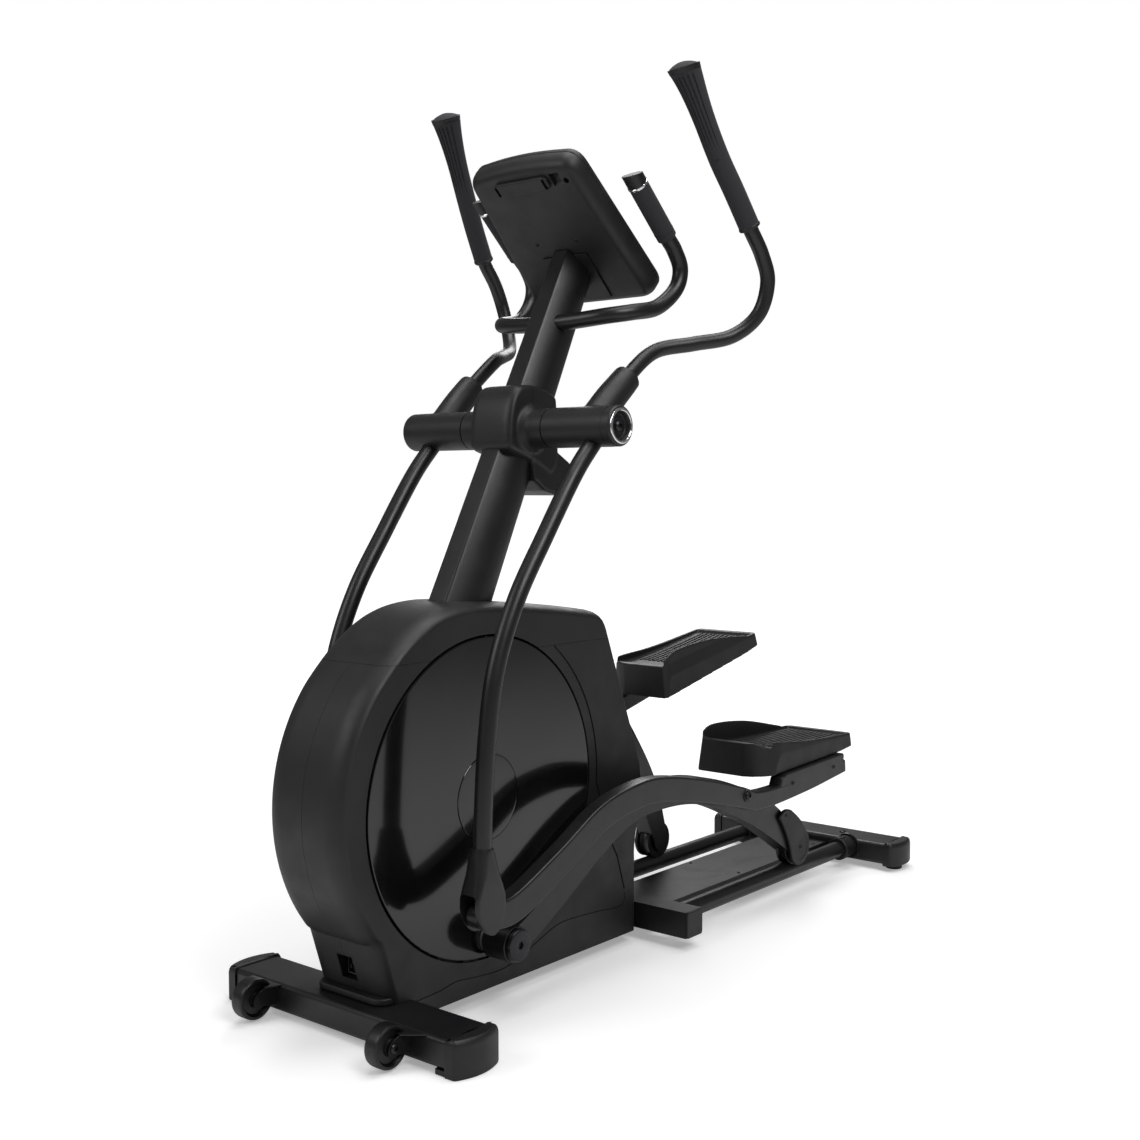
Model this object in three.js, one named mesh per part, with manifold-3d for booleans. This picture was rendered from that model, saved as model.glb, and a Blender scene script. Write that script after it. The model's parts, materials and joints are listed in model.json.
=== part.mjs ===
// Front-drive elliptical trainer, in millimetres. +Z is up, the front of the machine faces -Y, the user
// stands towards +Y and the user's left side is +X. The whole machine stands on the floor at z = 0.
import * as THREE from 'three';
import { mergeVertices } from 'three/addons/utils/BufferGeometryUtils.js';
import Module from 'manifold-3d';

const wasm = await Module();
wasm.setup();

// ---------------------------------------------------------------- driving dimensions
const GAP = 0.4;                    // clearance between pieces that touch or are cut by each other
const LEFT = 1;
const RIGHT = -1;

// the layout of the mechanism, seen from the side as [y, z]
const PIVOT = [0, 1037];            // axis of both swing arms
const DISC_R = 288;
const CRANK = [-172, DISC_R + 87];  // axis of the crank
const CRANK_R = DISC_R - 34;        // crank radius, half of the stride
const RAIL_R = 19;
const RAIL_Z = 49;
const ROLLER_R = 36;                // roller radius at the bottom of its groove
const ROLLER_Z = RAIL_Z + RAIL_R + ROLLER_R + GAP;
const ROLLER_Y = 806;               // left roller with its crank pin straight down
const CLEVIS_Z = 214;               // height of the left arm's clevis pin over the floor

// planes across the machine, from the middle outwards
const HOUSING_HALF = 92;
const DISC_FACE = HOUSING_HALF + 1.5;
const DISC_T = 6;
const RAIL_X = DISC_FACE + 43.5;    // middle of each rail, its roller and its link
const ARM_X = RAIL_X + 67;          // middle of the swing arms and pedal arms

// stabilisers and beam
const STAB_DEPTH = 100;
const STAB_H = 50;
const FRONT_STAB_Y = -406;
const FRONT_STAB_Z = 10;
const FRONT_STAB_HALF = 262;        // half length of the steel tube, without its caps
const REAR_STAB_Y = ROLLER_Y + CRANK_R + 74;
const REAR_STAB_Z = 16;
const REAR_STAB_HALF = 232;
const CAP_LEN = 38;
const BEAM_W = 60;
const BEAM_Z = [12, 45];
const CROSS_Y = [286, 340];
const CROSS_Z = [26, 79];
const CROSS_HALF = 206;
const COVER_HALF = 78;              // half width of the sheet cover over the beam
const COVER_TOP = 49;
const COVER_T = 2.5;

// discs and housing
const HUB_COVER_R = 78;
const HOUSING_WALL = 4;
const HOUSING_CROWN = 18;           // how far the middle of the front stands proud of its edges
const HOUSING_CROWN_W = 40;         // width over which the edge is rounded
const HOUSING_TOP = CRANK[1] + DISC_R + 61;
const TOP_SEAM_Z = HOUSING_TOP - 92;
const DISC_GAP = 4;

// mast
const MAST_TILT = 0.501;            // rearward travel for each unit of height
const MAST_AT_PIVOT = 17;           // the mast's middle lies this far behind the swing axis
const MAST_BOTTOM_Z = TOP_SEAM_Z - 57;
const MAST_TOP_Z = PIVOT[1] + 315;
const MAST_FRONT_W = 40;
const MAST_HALF_W = 42;
const MAST_HALF_D = 60;
const MAST_TAPER = [1.14, 0.86];    // section scale at the bottom and at the top

// swing arms
const AXLE_R = 12;
const SLEEVE_R = 37;
const SLEEVE_X = [DISC_FACE + 7.5, ARM_X + 36];
const HUB_R = 21;
const LOWER_TUBE_R = 16;
const UPPER_TUBE_R = 14.5;
const GRIP_R = 20;
const CLEVIS = [-310, CLEVIS_Z - PIVOT[1]];  // clevis pin of the left arm, seen from the swing axis
const CLEVIS_T = 5;
const CLEVIS_PIN_R = 8;

// pedal arms, links and pedals
const ARM_HALF_W = 16;
const LINK_HALF_W = 20;
const LINK_Q_SHARE = 0.677;         // the pedal arm's pivot lies this far along the link
const LINK_Q_RISE = 163;            // and this far over the crank pin
const PEDAL_BOLT_R = 17;            // boss between the link and the pedal arm
const BARREL_R = 32;
const PIN_R = 15;
const ROLLER_PIN_R = 6;
const PEDAL_X = [34, 209];
const PEDAL_AHEAD = 83;             // the pedal starts this far behind the pedal arm's pivot
const PEDAL_LEN = 396;
const PEDAL_RISE = 18;              // its bottom lies this far over the pivot
const PEDAL_WALL = 9;

// drive
const PULLEY_R = 150;
const SMALL_PULLEY_R = 28;
const FLYWHEEL_R = 122;
const FLYWHEEL = [CRANK[0] + 234, CRANK[1] - 113];
const PULLEY_X = [-64, -50];
const CRANK_AXLE_R = 12.5;
const FLYWHEEL_AXLE_R = 10;
const BRAKE_HINGE = [FLYWHEEL[0] - 88, FLYWHEEL[1] + 128];
const BRAKE_PIN_R = 5;

// wheels and feet
const WHEEL_X = 168;
const WHEEL_R = 36;
const WHEEL_W = 28;
const WHEEL_PIN_R = 5;
const WHEEL = [FRONT_STAB_Y - STAB_DEPTH / 2 - 38, WHEEL_R + 4];
const FOOT_X = REAR_STAB_HALF + 4;
const FOOT_R = 20;

// console
const CONSOLE_BEHIND = -23;         // the console's middle, seen from the mast's top
const CONSOLE_RISE = 80;
const CONSOLE_TILT = 0.748;         // angle of the console's face from the horizontal, radians
const CONSOLE_LEN = 335;
const CONSOLE_W = [260, 304];       // width at the top and at the bottom

// pulse handlebar
const PULSE_R = 15.5;
const PULSE_GRIP_R = 19.5;

// ---------------------------------------------------------------- materials
function standard(color, roughness, metalness) {
  return new THREE.MeshStandardMaterial({ color, roughness, metalness });
}
const powderCoat = standard(0x1d1d21, 0.42, 0.35);
const mouldedPlastic = standard(0x141416, 0.62, 0.0);
const glossPlastic = standard(0x060607, 0.08, 0.0);
const gripFoam = standard(0x101012, 0.85, 0.0);
const rubber = standard(0x121212, 0.9, 0.0);
const steel = standard(0x9b9b9d, 0.3, 1.0);
const chrome = standard(0xcfcfd2, 0.12, 1.0);
const castIron = standard(0x3a3a3c, 0.55, 0.8);
const lens = standard(0x0b0d10, 0.05, 0.0);

// ---------------------------------------------------------------- solids
function toSolid(geometry) {
  const bare = geometry.clone();
  bare.deleteAttribute('normal');
  bare.deleteAttribute('uv');
  const merged = mergeVertices(bare, 1e-4);
  return new wasm.Manifold(new wasm.Mesh({
    numProp: 3,
    vertProperties: new Float32Array(merged.attributes.position.array),
    triVerts: new Uint32Array(merged.index.array),
  }));
}

function toGeometry(solid) {
  const mesh = solid.getMesh();
  const geometry = new THREE.BufferGeometry();
  geometry.setAttribute('position', new THREE.BufferAttribute(new Float32Array(mesh.vertProperties), 3));
  geometry.setIndex(new THREE.BufferAttribute(new Uint32Array(mesh.triVerts), 1));
  return geometry;
}

const join = (first, ...others) => others.reduce((whole, next) => whole.add(next), first);
const cut = (first, ...others) => others.reduce((whole, next) => whole.subtract(next), first);

function box([x0, x1], [y0, y1], [z0, z1]) {
  const geometry = new THREE.BoxGeometry(x1 - x0, y1 - y0, z1 - z0);
  geometry.translate((x0 + x1) / 2, (y0 + y1) / 2, (z0 + z1) / 2);
  return toSolid(geometry);
}

// a cylinder between two x positions, round the axis at [y, z]
function cylinderX([x0, x1], [y, z], radius, sides = 16) {
  const geometry = new THREE.CylinderGeometry(radius, radius, x1 - x0, sides);
  geometry.rotateZ(-Math.PI / 2);
  geometry.translate((x0 + x1) / 2, y, z);
  return toSolid(geometry);
}

function cylinderZ([x, y], [z0, z1], radius, sides = 16) {
  const geometry = new THREE.CylinderGeometry(radius, radius, z1 - z0, sides);
  geometry.rotateX(Math.PI / 2);
  geometry.translate(x, y, (z0 + z1) / 2);
  return toSolid(geometry);
}

// a profile of [x, radius] points turned round the X axis and moved to [y, z]
function turnedX(profile, [y, z], sides = 20) {
  const points = profile.map(([x, radius]) => new THREE.Vector2(radius, x));
  const geometry = new THREE.LatheGeometry(points, sides);
  geometry.rotateZ(-Math.PI / 2);
  geometry.translate(0, y, z);
  const solid = toSolid(geometry);
  return solid;
}

const toSide = new THREE.Matrix4().makeBasis(
  new THREE.Vector3(0, 1, 0),
  new THREE.Vector3(0, 0, 1),
  new THREE.Vector3(1, 0, 0),
);

// an outline of [y, z] points or a Shape, extruded between two x positions
function slab(outline, [x0, x1], bevel = null) {
  const shape = outline instanceof THREE.Shape
    ? outline
    : new THREE.Shape(outline.map(([y, z]) => new THREE.Vector2(y, z)));
  const thickness = bevel ? bevel.width : 0;
  const geometry = new THREE.ExtrudeGeometry(shape, {
    depth: x1 - x0 - 2 * thickness,
    curveSegments: 6,
    bevelEnabled: Boolean(bevel),
    bevelThickness: thickness,
    bevelSize: bevel ? bevel.size : 0,
    bevelOffset: bevel ? -bevel.size - (bevel.inset ?? 0) : 0,
    bevelSegments: bevel ? bevel.steps : 1,
  });
  geometry.translate(0, 0, x0 + thickness);
  geometry.applyMatrix4(toSide);
  return toSolid(geometry);
}

// a round tube through [x, y, z] points
function tube(points, radius, steps = 12, sides = 8) {
  const curve = new THREE.CatmullRomCurve3(points.map((p) => new THREE.Vector3(...p)));
  const ring = Array.from({ length: sides }, (_, i) => {
    const angle = (2 * Math.PI * i) / sides;
    return new THREE.Vector2(radius * Math.cos(angle), radius * Math.sin(angle));
  });
  return toSolid(new THREE.ExtrudeGeometry(new THREE.Shape(ring), { steps, extrudePath: curve }));
}

// the outline of a bar that follows [y, z, half height] points, with a round nose and a square tail
function ribbon(stations, samples = 20) {
  const path = new THREE.SplineCurve(stations.map(([y, z]) => new THREE.Vector2(y, z)));
  const last = stations.length - 1;
  const above = [];
  const below = [];
  for (let i = 0; i <= samples; i += 1) {
    const t = i / samples;
    const at = path.getPoint(t);
    const along = path.getTangent(t);
    const span = Math.min(Math.floor(t * last), last - 1);
    const half = THREE.MathUtils.lerp(stations[span][2], stations[span + 1][2], t * last - span);
    above.push([at.x - along.y * half, at.y + along.x * half]);
    below.push([at.x + along.y * half, at.y - along.x * half]);
  }
  const start = path.getTangent(0);
  const heading = Math.atan2(start.y, start.x);
  const [noseY, noseZ, noseR] = stations[0];
  const nose = Array.from({ length: 7 }, (_, i) => {
    const angle = heading + Math.PI / 2 + (Math.PI * (i + 1)) / 8;
    return [noseY + noseR * Math.cos(angle), noseZ + noseR * Math.sin(angle)];
  });
  return [...above.reverse(), ...nose, ...below];
}

// ---------------------------------------------------------------- layout of the linkage
const add = ([ay, az], [by, bz]) => [ay + by, az + bz];
const minus = ([ay, az], [by, bz]) => [ay - by, az - bz];
const headingOf = ([y, z]) => Math.atan2(z, y);
const turn = ([y, z], angle) => [
  y * Math.cos(angle) - z * Math.sin(angle),
  y * Math.sin(angle) + z * Math.cos(angle),
];

// where the circle round a meets the circle round b, on the front side of the line between them
function meet(a, radiusA, b, radiusB) {
  const between = minus(b, a);
  const distance = Math.hypot(...between);
  const along = (radiusA ** 2 - radiusB ** 2 + distance ** 2) / (2 * distance);
  const across = Math.sqrt(radiusA ** 2 - along ** 2);
  return add(a, turn([along, -across], headingOf(between)));
}

const drawnPin = [CRANK[0], CRANK[1] - CRANK_R];
const drawnRoller = [ROLLER_Y, ROLLER_Z];
const drawnAxle = minus(drawnRoller, drawnPin);
const linkLength = Math.hypot(...drawnAxle);
const drawnLinkHeading = headingOf(drawnAxle);
const drawnClevis = add(PIVOT, CLEVIS);
const linkQ = [LINK_Q_SHARE * drawnAxle[0], LINK_Q_RISE];
const drawnPivotQ = add(drawnPin, linkQ);
const armToQ = minus(drawnPivotQ, drawnClevis);
const armReach = Math.hypot(...CLEVIS);
const pedalArmLength = Math.hypot(...armToQ);

// each side is drawn with its crank pin straight down; these are its places and turns at rest
function layoutOf(side) {
  const pin = [CRANK[0], CRANK[1] - side * CRANK_R];
  const rise = ROLLER_Z - pin[1];
  const roller = [pin[0] + Math.sqrt(linkLength ** 2 - rise ** 2), ROLLER_Z];
  const linkTurn = headingOf(minus(roller, pin)) - drawnLinkHeading;
  const pivotQ = add(pin, turn(linkQ, linkTurn));
  const clevis = meet(PIVOT, armReach, pivotQ, pedalArmLength);
  const armTurn = headingOf(minus(clevis, PIVOT)) - headingOf(CLEVIS);
  const pedalTurn = headingOf(minus(pivotQ, clevis)) - headingOf(armToQ);
  return { pin, roller, linkTurn, pivotQ, clevis, armTurn, pedalTurn };
}

// ---------------------------------------------------------------- the model
const model = new THREE.Group();

function addMesh(parent, name, solid, material) {
  const mesh = new THREE.Mesh(toGeometry(solid), material);
  mesh.name = name;
  parent.add(mesh);
  return mesh;
}

const sideName = (side) => (side === LEFT ? 'left' : 'right');
const spanX = (side, [inner, outer]) => (side === LEFT ? [inner, outer] : [-outer, -inner]);

// ------------------------------------------------------- base frame, stabilisers and rails
const frontStabFace = FRONT_STAB_Y + STAB_DEPTH / 2;
const postBottomY = frontStabFace + GAP + 28;
const mastY = (z) => MAST_AT_PIVOT + MAST_TILT * (z - PIVOT[1]);

function baseFrame() {
  const half = BEAM_W / 2;
  const rearStabFront = REAR_STAB_Y - STAB_DEPTH / 2;
  const beam = box([-half, half], [frontStabFace + GAP, rearStabFront - GAP], BEAM_Z);
  const crossmember = box([-CROSS_HALF, CROSS_HALF], CROSS_Y, CROSS_Z);
  const plateTop = FRONT_STAB_Z + STAB_H + GAP;
  const plateShape = new THREE.Shape([
    [-62, -414], [62, -414], [90, -394], [90, -328], [-90, -328], [-90, -394],
  ].map(([x, y]) => new THREE.Vector2(x, y)));
  const plateGeometry = new THREE.ExtrudeGeometry(plateShape, { depth: 6, bevelEnabled: false });
  plateGeometry.translate(0, 0, plateTop);
  const plate = toSolid(plateGeometry);
  const post = slab(ribbon([
    [postBottomY, 44, 27],
    [postBottomY, 200, 27],
    [postBottomY + 12, 330, 27],
    [-278, CRANK[1] + 75, 27],
    [mastY(MAST_BOTTOM_Z) - 4, MAST_BOTTOM_Z + 40, 27],
  ], 14), [-26, 26]).intersect(box([-100, 100], [-500, 500], [0, MAST_BOTTOM_Z - GAP]));
  const bearing = cylinderX([-46, 46], CRANK, 34);
  const gusset = box([-8, 8], [postBottomY, CRANK[0]], [CRANK[1] - 26, CRANK[1] + 26]);
  const stay = box([-8, 8], [CRANK[0] - 24, CRANK[0] + 24], [BEAM_Z[0] + 5, CRANK[1]]);
  const flywheelStay = box([-8, 8], [FLYWHEEL[0] - 22, FLYWHEEL[0] + 22], [BEAM_Z[0] + 5, FLYWHEEL[1]]);
  const flywheelBoss = cylinderX([-12, 12], FLYWHEEL, 22);
  const crankBore = cylinderX([-47, 47], CRANK, CRANK_AXLE_R + GAP);
  const flywheelBore = cylinderX([-13, 13], FLYWHEEL, FLYWHEEL_AXLE_R + GAP);
  const brakeStrut = box([-8, 8], [CRANK[0], BRAKE_HINGE[0] + 8], [BRAKE_HINGE[1] - 9, BRAKE_HINGE[1] + 9]);
  const brakePin = cylinderX([-8, 40], BRAKE_HINGE, BRAKE_PIN_R, 12);
  return cut(
    join(
      beam, crossmember, plate, post, bearing, gusset, stay, flywheelStay, flywheelBoss, brakeStrut, brakePin,
    ),
    crankBore,
    flywheelBore,
  );
}

// a stabiliser's section, seen from the side, with its corners rounded
function stabiliserOutline(y, z0, height, grow = 0) {
  const half = STAB_DEPTH / 2 + grow;
  const round = 9;
  const low = z0 - grow;
  const high = z0 + height + grow;
  return [
    [y - half + round, low], [y + half - round, low], [y + half, low + round], [y + half, high - round],
    [y + half - round, high], [y - half + round, high], [y - half, high - round], [y - half, low + round],
  ];
}

// a sheet bracket on each side of a transport wheel, joined by a web on the stabiliser's face
function wheelBracket(side) {
  const middle = side * WHEEL_X;
  const face = FRONT_STAB_Y - STAB_DEPTH / 2;
  const cheek = [
    [face + 2, 56], [face + 2, 24], [WHEEL[0] + 6, WHEEL[1] - 12], [WHEEL[0] - 10, WHEEL[1]],
    [WHEEL[0] + 4, 56],
  ];
  const reach = WHEEL_W / 2 + 2;
  const outer = slab(cheek, [middle + reach, middle + reach + 3]);
  const inner = slab(cheek, [middle - reach - 3, middle - reach]);
  const web = box([middle - reach - 3, middle + reach + 3], [face - 1, face + 2], [20, 58]);
  const pin = cylinderX([middle - reach - 1, middle + reach + 1], WHEEL, WHEEL_PIN_R, 12);
  return join(outer, inner, web, pin);
}

function frontStabiliser() {
  const outline = stabiliserOutline(FRONT_STAB_Y, FRONT_STAB_Z, STAB_H);
  const body = slab(outline, [-FRONT_STAB_HALF, FRONT_STAB_HALF]);
  return join(body, wheelBracket(LEFT), wheelBracket(RIGHT));
}

// a moulded end cap from the height low upwards, with its outer end drawn in
function endCap(side, y, half, z0, low) {
  const outline = stabiliserOutline(y, low, z0 + STAB_H + 3 - low, 3);
  const raised = outline.map(([py, pz]) => [py, Math.max(pz, low)]);
  return slab(raised, spanX(side, [half + GAP, half + CAP_LEN]), { width: 8, size: 8, steps: 2 });
}

function railSolid(side) {
  const geometry = new THREE.CylinderGeometry(RAIL_R, RAIL_R, railEnd - CROSS_Y[1] - GAP, 16);
  geometry.translate(0, (railEnd + CROSS_Y[1] + GAP) / 2, 0);
  geometry.translate(side * RAIL_X, 0, RAIL_Z);
  return toSolid(geometry);
}

const collarStart = REAR_STAB_Y - STAB_DEPTH / 2 - 52;
const railEnd = collarStart + 20;

// the rear tube with the round cross tube and the two collars that hold the rails
function rearStabiliser() {
  const front = REAR_STAB_Y - STAB_DEPTH / 2;
  const outline = stabiliserOutline(REAR_STAB_Y, REAR_STAB_Z, STAB_H);
  const body = slab(outline, [-REAR_STAB_HALF, REAR_STAB_HALF]);
  const collars = [LEFT, RIGHT].map((side) => {
    const geometry = new THREE.CylinderGeometry(RAIL_R + 6, RAIL_R + 6, front + 4 - collarStart, 16);
    geometry.translate(side * RAIL_X, (front + 4 + collarStart) / 2, RAIL_Z);
    return toSolid(geometry);
  });
  const bores = [LEFT, RIGHT].map((side) => {
    const [from, to] = [collarStart - 1, railEnd + GAP];
    const geometry = new THREE.CylinderGeometry(RAIL_R + GAP, RAIL_R + GAP, to - from, 16);
    geometry.translate(side * RAIL_X, (to + from) / 2, RAIL_Z);
    return toSolid(geometry);
  });
  return cut(join(body, ...collars), ...bores);
}

function beamCover() {
  const rear = REAR_STAB_Y - STAB_DEPTH / 2 - GAP;
  const outer = box([-COVER_HALF, COVER_HALF], [CROSS_Y[1] + GAP, rear], [22, COVER_TOP]);
  const inside = COVER_HALF - COVER_T;
  const hollow = box([-inside, inside], [CROSS_Y[1] - 1, rear + 1], [20, COVER_TOP - COVER_T]);
  return cut(outer, hollow);
}

// ------------------------------------------------------- mast
function mastSolid(grow = 0) {
  const frontHalf = MAST_FRONT_W / 2 + grow;
  const depth = MAST_HALF_D + grow;
  const width = MAST_HALF_W + grow;
  const shape = new THREE.Shape();
  shape.moveTo(-frontHalf, -depth);
  shape.lineTo(frontHalf, -depth);
  shape.bezierCurveTo(frontHalf + 8, -depth * 0.7, width, -depth * 0.3, width, 0);
  shape.bezierCurveTo(width, depth * 0.6, width * 0.6, depth, 0, depth);
  shape.bezierCurveTo(-width * 0.6, depth, -width, depth * 0.6, -width, 0);
  shape.bezierCurveTo(-width, -depth * 0.3, -frontHalf - 8, -depth * 0.7, -frontHalf, -depth);
  const rise = MAST_TOP_Z - MAST_BOTTOM_Z;
  const geometry = new THREE.ExtrudeGeometry(shape, { depth: rise, curveSegments: 6, bevelEnabled: false });
  const position = geometry.attributes.position;
  for (let i = 0; i < position.count; i += 1) {
    const t = position.getZ(i) / rise;
    const scale = THREE.MathUtils.lerp(MAST_TAPER[0], MAST_TAPER[1], t);
    const z = MAST_BOTTOM_Z + position.getZ(i);
    position.setXYZ(i, position.getX(i) * scale, position.getY(i) * scale + mastY(z), z);
  }
  return toSolid(geometry);
}

// ------------------------------------------------------- housing
function housingOutline() {
  const [cy, cz] = CRANK;
  const top = HOUSING_TOP;
  const frontR = DISC_R + 56;
  const footR = DISC_R + 52;
  const footAngle = Math.atan2(-205, -270);
  const shape = new THREE.Shape();
  shape.moveTo(-412, 72);
  shape.lineTo(cy + footR * Math.cos(footAngle), cz + footR * Math.sin(footAngle));
  shape.absarc(cy - 5, cz + 6, frontR, footAngle, 0.78 * Math.PI, true);
  shape.bezierCurveTo(-350, top - 24, -290, top - 2, -200, top);
  shape.bezierCurveTo(-100, top - 2, 40, top - 18, 140, top - 34);
  shape.quadraticCurveTo(174, top - 38, 187, top - 72);
  shape.lineTo(295, cz + 7);
  shape.quadraticCurveTo(315, cz - 55, 299, cz - 115);
  shape.quadraticCurveTo(281, cz - 155, 281, cz - 185);
  shape.lineTo(281, 30);
  shape.lineTo(-288, 24);
  shape.lineTo(-318, 72);
  return shape;
}

function housingBody(inset) {
  return slab(housingOutline(), [-HOUSING_HALF + inset, HOUSING_HALF - inset], {
    width: HOUSING_CROWN_W,
    size: HOUSING_CROWN,
    inset,
    steps: 1,
  });
}

// the power inlet's body, let into the foot of the housing's front
const INLET_X = [-14, 14];
const INLET_Y = [-446, -404];
const INLET_Z = [96, 132];

function housingPieces() {
  const shell = cut(housingBody(0), housingBody(HOUSING_WALL));
  const through = HOUSING_HALF + 10;
  const open = cut(
    shell,
    cylinderX([-through, through], CRANK, DISC_R + DISC_GAP, 28),
    mastSolid(2),
    box([-BEAM_W / 2 - 2, BEAM_W / 2 + 2], [-380, 300], [0, BEAM_Z[1] + 2]),
    box([-34, 34], [postBottomY - 52, postBottomY + 60], [0, FRONT_STAB_Z + STAB_H + 30]),
    box([INLET_X[0] - GAP, INLET_X[1] + GAP], [-470, -380], [INLET_Z[0] - GAP, INLET_Z[1] + GAP]),
  );
  const seam = GAP / 2;
  const big = 1200;
  return {
    left: open.intersect(box([seam, big], [-big, big], [-big, TOP_SEAM_Z - seam])),
    right: open.intersect(box([-big, -seam], [-big, big], [-big, TOP_SEAM_Z - seam])),
    top: open.intersect(box([-big, big], [-big, big], [TOP_SEAM_Z + seam, big])),
  };
}

// ------------------------------------------------------- crank and drive
function crankDisc(side) {
  const inner = DISC_FACE - DISC_T;
  const bore = CRANK_AXLE_R + GAP;
  const profile = [
    [DISC_FACE - 1, 0], [DISC_FACE - 1, bore], [66, bore], [66, 34], [inner, 60],
    [inner, DISC_R], [DISC_FACE - 2, DISC_R], [DISC_FACE, DISC_R - 2],
    [DISC_FACE, HUB_COVER_R], [DISC_FACE + 4, HUB_COVER_R - 3], [DISC_FACE + 5, 0],
  ];
  const solid = turnedX(profile, CRANK, 28);
  return side === LEFT ? solid : solid.mirror([1, 0, 0]);
}

function drivePulley() {
  const [x0, x1] = PULLEY_X;
  return turnedX([
    [x0, CRANK_AXLE_R + GAP], [x0, PULLEY_R], [x1, PULLEY_R], [x1, PULLEY_R - 14],
    [x0 + 5, PULLEY_R - 18], [x1, 26], [x1, CRANK_AXLE_R + GAP], [x0, CRANK_AXLE_R + GAP],
  ], CRANK, 24);
}

function flywheel() {
  const [p0, p1] = PULLEY_X;
  return turnedX([
    [p0, 0], [p0, SMALL_PULLEY_R], [p1, SMALL_PULLEY_R], [p1, FLYWHEEL_AXLE_R],
    [16, FLYWHEEL_AXLE_R], [16, 40],
    [22, FLYWHEEL_R - 28], [14, FLYWHEEL_R - 24], [14, FLYWHEEL_R], [46, FLYWHEEL_R],
    [46, FLYWHEEL_R - 24], [38, FLYWHEEL_R - 28], [44, 30], [44, 0],
  ], FLYWHEEL, 20);
}

// the loop of two circles and their outer tangents, as [y, z] points
function beltLoop(grow) {
  const big = PULLEY_R + grow;
  const small = SMALL_PULLEY_R + grow;
  const between = minus(FLYWHEEL, CRANK);
  const heading = headingOf(between);
  const spread = Math.acos((big - small) / Math.hypot(...between));
  const arc = (centre, radius, from, to, count) => Array.from({ length: count + 1 }, (_, i) => {
    const angle = heading + THREE.MathUtils.lerp(from, to, i / count);
    return [centre[0] + radius * Math.cos(angle), centre[1] + radius * Math.sin(angle)];
  });
  return [
    ...arc(CRANK, big, spread, 2 * Math.PI - spread, 22),
    ...arc(FLYWHEEL, small, -spread, spread, 8),
  ];
}

function belt() {
  const [x0, x1] = PULLEY_X;
  return cut(
    slab(beltLoop(GAP + 3.6), [x0 + 1, x1 - 1]),
    slab(beltLoop(GAP + 0.4), [x0, x1]),
  );
}

// a magnet carrier curved round the flywheel's rim, hung on a lug at its upper end
function brakeArm() {
  const inside = FLYWHEEL_R + 4;
  const outside = inside + 14;
  const shape = new THREE.Shape();
  shape.absarc(...FLYWHEEL, outside, 1.05, 2.05, false);
  shape.lineTo(BRAKE_HINGE[0] - 8, BRAKE_HINGE[1] + 8);
  shape.lineTo(BRAKE_HINGE[0] - 8, BRAKE_HINGE[1] - 6);
  shape.absarc(...FLYWHEEL, inside, 2.05, 1.05, true);
  const carrier = slab(shape, [14, 38]);
  return cut(carrier, cylinderX([10, 42], BRAKE_HINGE, BRAKE_PIN_R + GAP, 12));
}

// ------------------------------------------------------- swing arms
// drawn with the swing axis at the origin; the tube bows forward so that it clears the crank pin
const UPPER_PATH = [
  [196, 46, 48], [196, 106, 99], [204, 178, 148], [244, 248, 165], [286, 316, 182], [322, 354, 224],
  [341, 357, 284], [342, 334, 333], [339, 296, 379], [329, 256, 442], [317, 217, 505], [307, 178, 580],
  [302, 146, 644],
];
const GRIP_PATH = [[339, 296, 379], [329, 256, 442], [317, 217, 505], [307, 178, 580], [301, 142, 664]];

const mirrorX = (side, points) => points.map(([x, y, z]) => [side * x, y, z]);

// how far forward the lower tube is at each share of the clevis pin's depth
const LOWER_PATH = [
  [0, 0.024], [-62, 0.102], [-142, 0.231], [-220, 0.365], [-272, 0.504], [-294, 0.644], [-303, 0.778],
];
const LOWER_END = [CLEVIS[0] + 4, CLEVIS[1] + 107]; // the tube ends inside the clevis block

function lowerTube(side, radius) {
  const bowed = LOWER_PATH.map(([y, share]) => [side * ARM_X, y, share * CLEVIS[1]]);
  return tube([...bowed, [side * ARM_X, ...LOWER_END]], radius, 13);
}

// the welded swing arm: hub tube, bowed lower tube and the clevis at its foot
function swingArm(side) {
  const [cy, cz] = CLEVIS;
  const halfGap = ARM_HALF_W + 1;
  const halfOut = halfGap + CLEVIS_T;
  const hub = cylinderX(spanX(side, [SLEEVE_X[0] + 2, SLEEVE_X[1] - 2]), [0, 0], HUB_R);
  const outline = new THREE.Shape();
  outline.moveTo(cy - 27, cz + 112);
  outline.lineTo(cy + 30, cz + 108);
  outline.lineTo(cy + 42, cz + 72);
  outline.quadraticCurveTo(cy + 46, cz + 30, cy + 28, cz);
  outline.absarc(cy, cz, 28, 0, -Math.PI, true);
  outline.quadraticCurveTo(cy - 40, cz + 40, cy - 27, cz + 112);
  const block = slab(outline, spanX(side, [ARM_X - halfOut, ARM_X + halfOut]));
  const slot = box(spanX(side, [ARM_X - halfGap, ARM_X + halfGap]), [cy - 90, cy + 90], [cz - 60, cz + 62]);
  const pin = cylinderX(spanX(side, [ARM_X - halfOut - 2, ARM_X + halfOut + 4]), CLEVIS, CLEVIS_PIN_R, 16);
  const bore = cylinderX(spanX(side, [SLEEVE_X[0], SLEEVE_X[1]]), [0, 0], AXLE_R + GAP);
  return cut(join(hub, lowerTube(side, LOWER_TUBE_R), cut(block, slot), pin), bore);
}

// the moulded sleeve over the hub, with the socket that holds the upper handle
function armSleeve(side) {
  const shell = cylinderX(spanX(side, SLEEVE_X), [0, 0], SLEEVE_R, 20);
  const socketPath = [[192, 12, 14], [194, 50, 51], [196, 80, 77], [197, 100, 94]];
  const socket = tube(mirrorX(side, socketPath), 27, 3, 12);
  const bore = cylinderX(spanX(side, [SLEEVE_X[0] - 1, SLEEVE_X[1] + 1]), [0, 0], HUB_R + GAP);
  return cut(join(shell, socket), bore, lowerTube(side, LOWER_TUBE_R + GAP), upperTube(side, GAP));
}

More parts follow.
